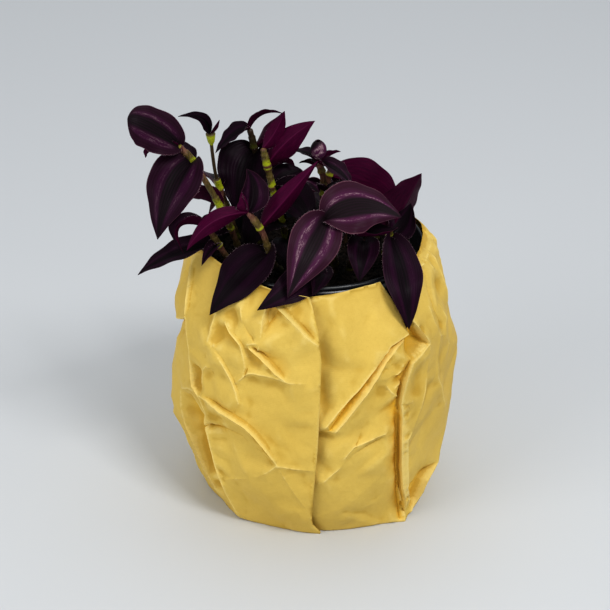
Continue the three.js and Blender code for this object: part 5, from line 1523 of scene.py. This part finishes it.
def leaf_skin():
    """The upper side's bands and the lower side's magenta, from the blade's own map."""
    material, tree, shader = new_material("leaf_skin", Specular_IOR_Level=0.06)
    blade_map = add(tree, "ShaderNodeUVMap", uv_map="blade").outputs[0]
    at = add(tree, "ShaderNodeSeparateXYZ", {0: blade_map})
    place = add(tree, "ShaderNodeTexCoord").outputs["Object"]
    own = value_of(tree, "own")
    strength = value_of(tree, "bands")
    stretched = add(tree, "ShaderNodeMapping", {0: blade_map})
    stretched.inputs["Scale"].default_value = (9, 2.2, 1)
    shifted = add(tree, "ShaderNodeVectorMath", {0: stretched.outputs[0]}, operation="ADD")
    apart = add(tree, "ShaderNodeCombineXYZ", {0: own, 1: own, 2: product(tree, own, 40.0)})
    tree.links.new(apart.outputs[0], shifted.inputs[1])
    lengthwise = shifted.outputs[0]
    streaks = cloudy(tree, lengthwise, 3.2, detail=4.0)
    drift = cloudy(tree, lengthwise, 0.7, -0.07, 0.07, 2.0)
    fine = cloudy(tree, lengthwise, 20.0, detail=3.0)
    from_rib = worked(tree, "ABSOLUTE", worked(tree, "MULTIPLY_ADD", at.outputs[0], 2.0, -1.0))
    x = worked(tree, "ADD", from_rib, drift)
    band = product(tree, ramp(tree, x, 0.22, 0.44), ramp(tree, x, 0.48, 0.72, 1.0, 0.0))
    along = at.outputs[1]
    ends = product(tree, ramp(tree, along, 0.02, 0.2), ramp(tree, along, 0.78, 0.99, 1.0, 0.0))
    band = product(tree, band, ends)
    line = product(tree, ramp(tree, x, 0.34, 0.42), ramp(tree, x, 0.47, 0.58, 1.0, 0.0))
    silver = product(tree, line, ramp(tree, product(tree, streaks, fine), 0.2, 0.62))
    silver = product(tree, product(tree, silver, ends), worked(tree, "POWER", strength, 1.3))
    veins = ridges(tree, at.outputs[0], 17.0, product(tree, drift, 6.0))
    middle = mixed(tree, strength, (0.0035, 0.0024, 0.003), (0.0125, 0.0088, 0.0095))
    sides = mixed(tree, strength, (0.0085, 0.0018, 0.0065), (0.036, 0.0095, 0.02))
    upper = mixed(tree, ramp(tree, x, 0.25, 0.75), middle, sides)
    upper = mixed(tree, product(tree, veins, 0.16), upper, (0.05, 0.012, 0.04))
    purple = mixed(tree, strength, (0.017, 0.0018, 0.013), (0.08, 0.016, 0.056))
    upper = mixed(tree, product(tree, band, 0.85), upper, purple)
    upper = mixed(tree, product(tree, silver, 0.75), upper, (0.40, 0.27, 0.29))
    paler = worked(tree, "MULTIPLY_ADD", strength, 0.5, 0.12)
    margin = product(tree, ramp(tree, from_rib, 0.955, 0.99), paler)
    upper = mixed(tree, margin, upper, (0.2, 0.085, 0.11))
    under = mixed(tree, streaks, (0.036, 0.001, 0.018), (0.07, 0.002, 0.028))
    under = mixed(tree, product(tree, veins, 0.25), under, (0.04, 0.0008, 0.02))
    under = mixed(tree, ramp(tree, from_rib, 0.0, 0.07, 0.35, 0.0), under, (0.15, 0.014, 0.07))
    is_upper = ramp(tree, value_of(tree, "upper"), 0.35, 0.65)
    colour = mixed(tree, is_upper, under, upper)
    # Painted shade: a leaf that lies deep in the plant is painted darker by its deep number.
    colour = mixed(tree, product(tree, value_of(tree, "deep"), 0.85), colour, (0.004, 0.0018, 0.0035))
    height = worked(tree, "MULTIPLY_ADD", streaks, 0.5, veins)
    surfaced(tree, shader, colour, height, 0.3, 0.00018, roughness=cloudy(tree, place, 160.0, 0.4, 0.52))
    return material


LEAF_SKIN = leaf_skin()

for order, (name, stem) in enumerate(LEAFY_STEMS.items()):
    random = np.random.default_rng(100 + order)
    line, lengths = stem_line(stem["path"])
    points, faces, flat = [], [], []
    values = {"upper": [], "own": [], "bands": [], "deep": []}
    for leaf in stem["leaves"] + stem.get("rolled", []):
        if leaf in stem["leaves"]:
            parts = blade(point_at(line, lengths, leaf[0] * lengths[-1]), leaf, random)
            bands, deep = leaf[7], leaf[8] if len(leaf) > 8 else 0
        else:
            *form, bands = leaf
            parts = rolled(*form)
            deep = 0
        size = len(parts[0])
        faces.append(parts[1] + sum(len(p) for p in points))
        points.append(parts[0])
        flat.append(parts[2])
        values["upper"].append(np.repeat([1.0, 0.0], size // 2))
        for key, value in (("own", random.random()), ("bands", bands), ("deep", deep)):
            values[key].append(np.full(size, float(value)))
    made = piece(name + "_leaves", np.vstack(points), np.vstack(faces), LEAF_SKIN)
    with_values(made, **{key: np.concatenate(numbers) for key, numbers in values.items()})
    flat = np.vstack(flat)
    with_map(made, "blade", flat)
    with_values(made, hairy=(np.abs(flat[:, 0] - 0.5) > 0.499) & (flat[:, 1] < 0.4))
    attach(made, "root")
    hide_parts("leafy_stem_" + name)
    haired(made, "leafy_stem_" + name, LEAF_HAIRS, 50 + order)


# ---------------------------------------------------------------------------------- floor and light
# A wide pale floor, a soft window light high at the front right, soft light from the ceiling and
# from a white wall at the left, and a pale room round it all.

FLOOR_REACH = 6000
FLOOR_COLOUR = (0.60, 0.615, 0.63, 1)
# Each light: its name, its width in metres, its power, where it is and what it points at.
LIGHTS = [
    ("window", 0.5, 15.5, (0.62, -1.0, 1.5), (0, 0, 0.1)),
    ("ceiling", 2.0, 9, (0.1, 1.1, 2.2), (0, 0.8, 0)),
    ("white wall", 1.0, 8.4, (-1.3, -1.0, 0.8), (0, 0, 0.1)),
]
ROOM_COLOUR = (0.93, 0.965, 1.0, 1)
ROOM_LIGHT = 0.46
CAMERA_LENS = 100.56
CAMERA_PLACE = (-0.0049, -0.870, 0.5557)
CAMERA_TILT = 63

corners = [(x * FLOOR_REACH, y * FLOOR_REACH, 0) for x, y in ((-1, -1), (1, -1), (1, 1), (-1, 1))]
floor_paint = new_material(
    "pale_floor", Base_Color=FLOOR_COLOUR, Roughness=0.7, Specular_IOR_Level=0.2,
)[0]
ground = piece("pale_floor", corners, [(0, 1, 2, 3)], floor_paint)

for name, width, power, place, aim in LIGHTS:
    light = bpy.data.lights.new(name, "AREA")
    light.size = width
    light.energy = power
    made = bpy.data.objects.new(name, light)
    made.location = place
    made.rotation_euler = (Vector(aim) - Vector(place)).to_track_quat("-Z", "Y").to_euler()
    bpy.context.scene.collection.objects.link(made)

room = bpy.data.worlds.new("room")
room.use_nodes = True
background = room.node_tree.nodes["Background"]
background.inputs["Color"].default_value = ROOM_COLOUR
background.inputs["Strength"].default_value = ROOM_LIGHT
bpy.context.scene.world = room
bpy.context.scene.view_settings.view_transform = "Standard"
bpy.context.scene.view_settings.look = "Medium High Contrast"

camera = bpy.data.objects.new("camera", bpy.data.cameras.new("camera"))
camera.data.lens = CAMERA_LENS
camera.data.sensor_width = 36
camera.location = CAMERA_PLACE
camera.rotation_euler = (math.radians(CAMERA_TILT), 0, 0)
bpy.context.scene.collection.objects.link(camera)
bpy.context.scene.camera = camera
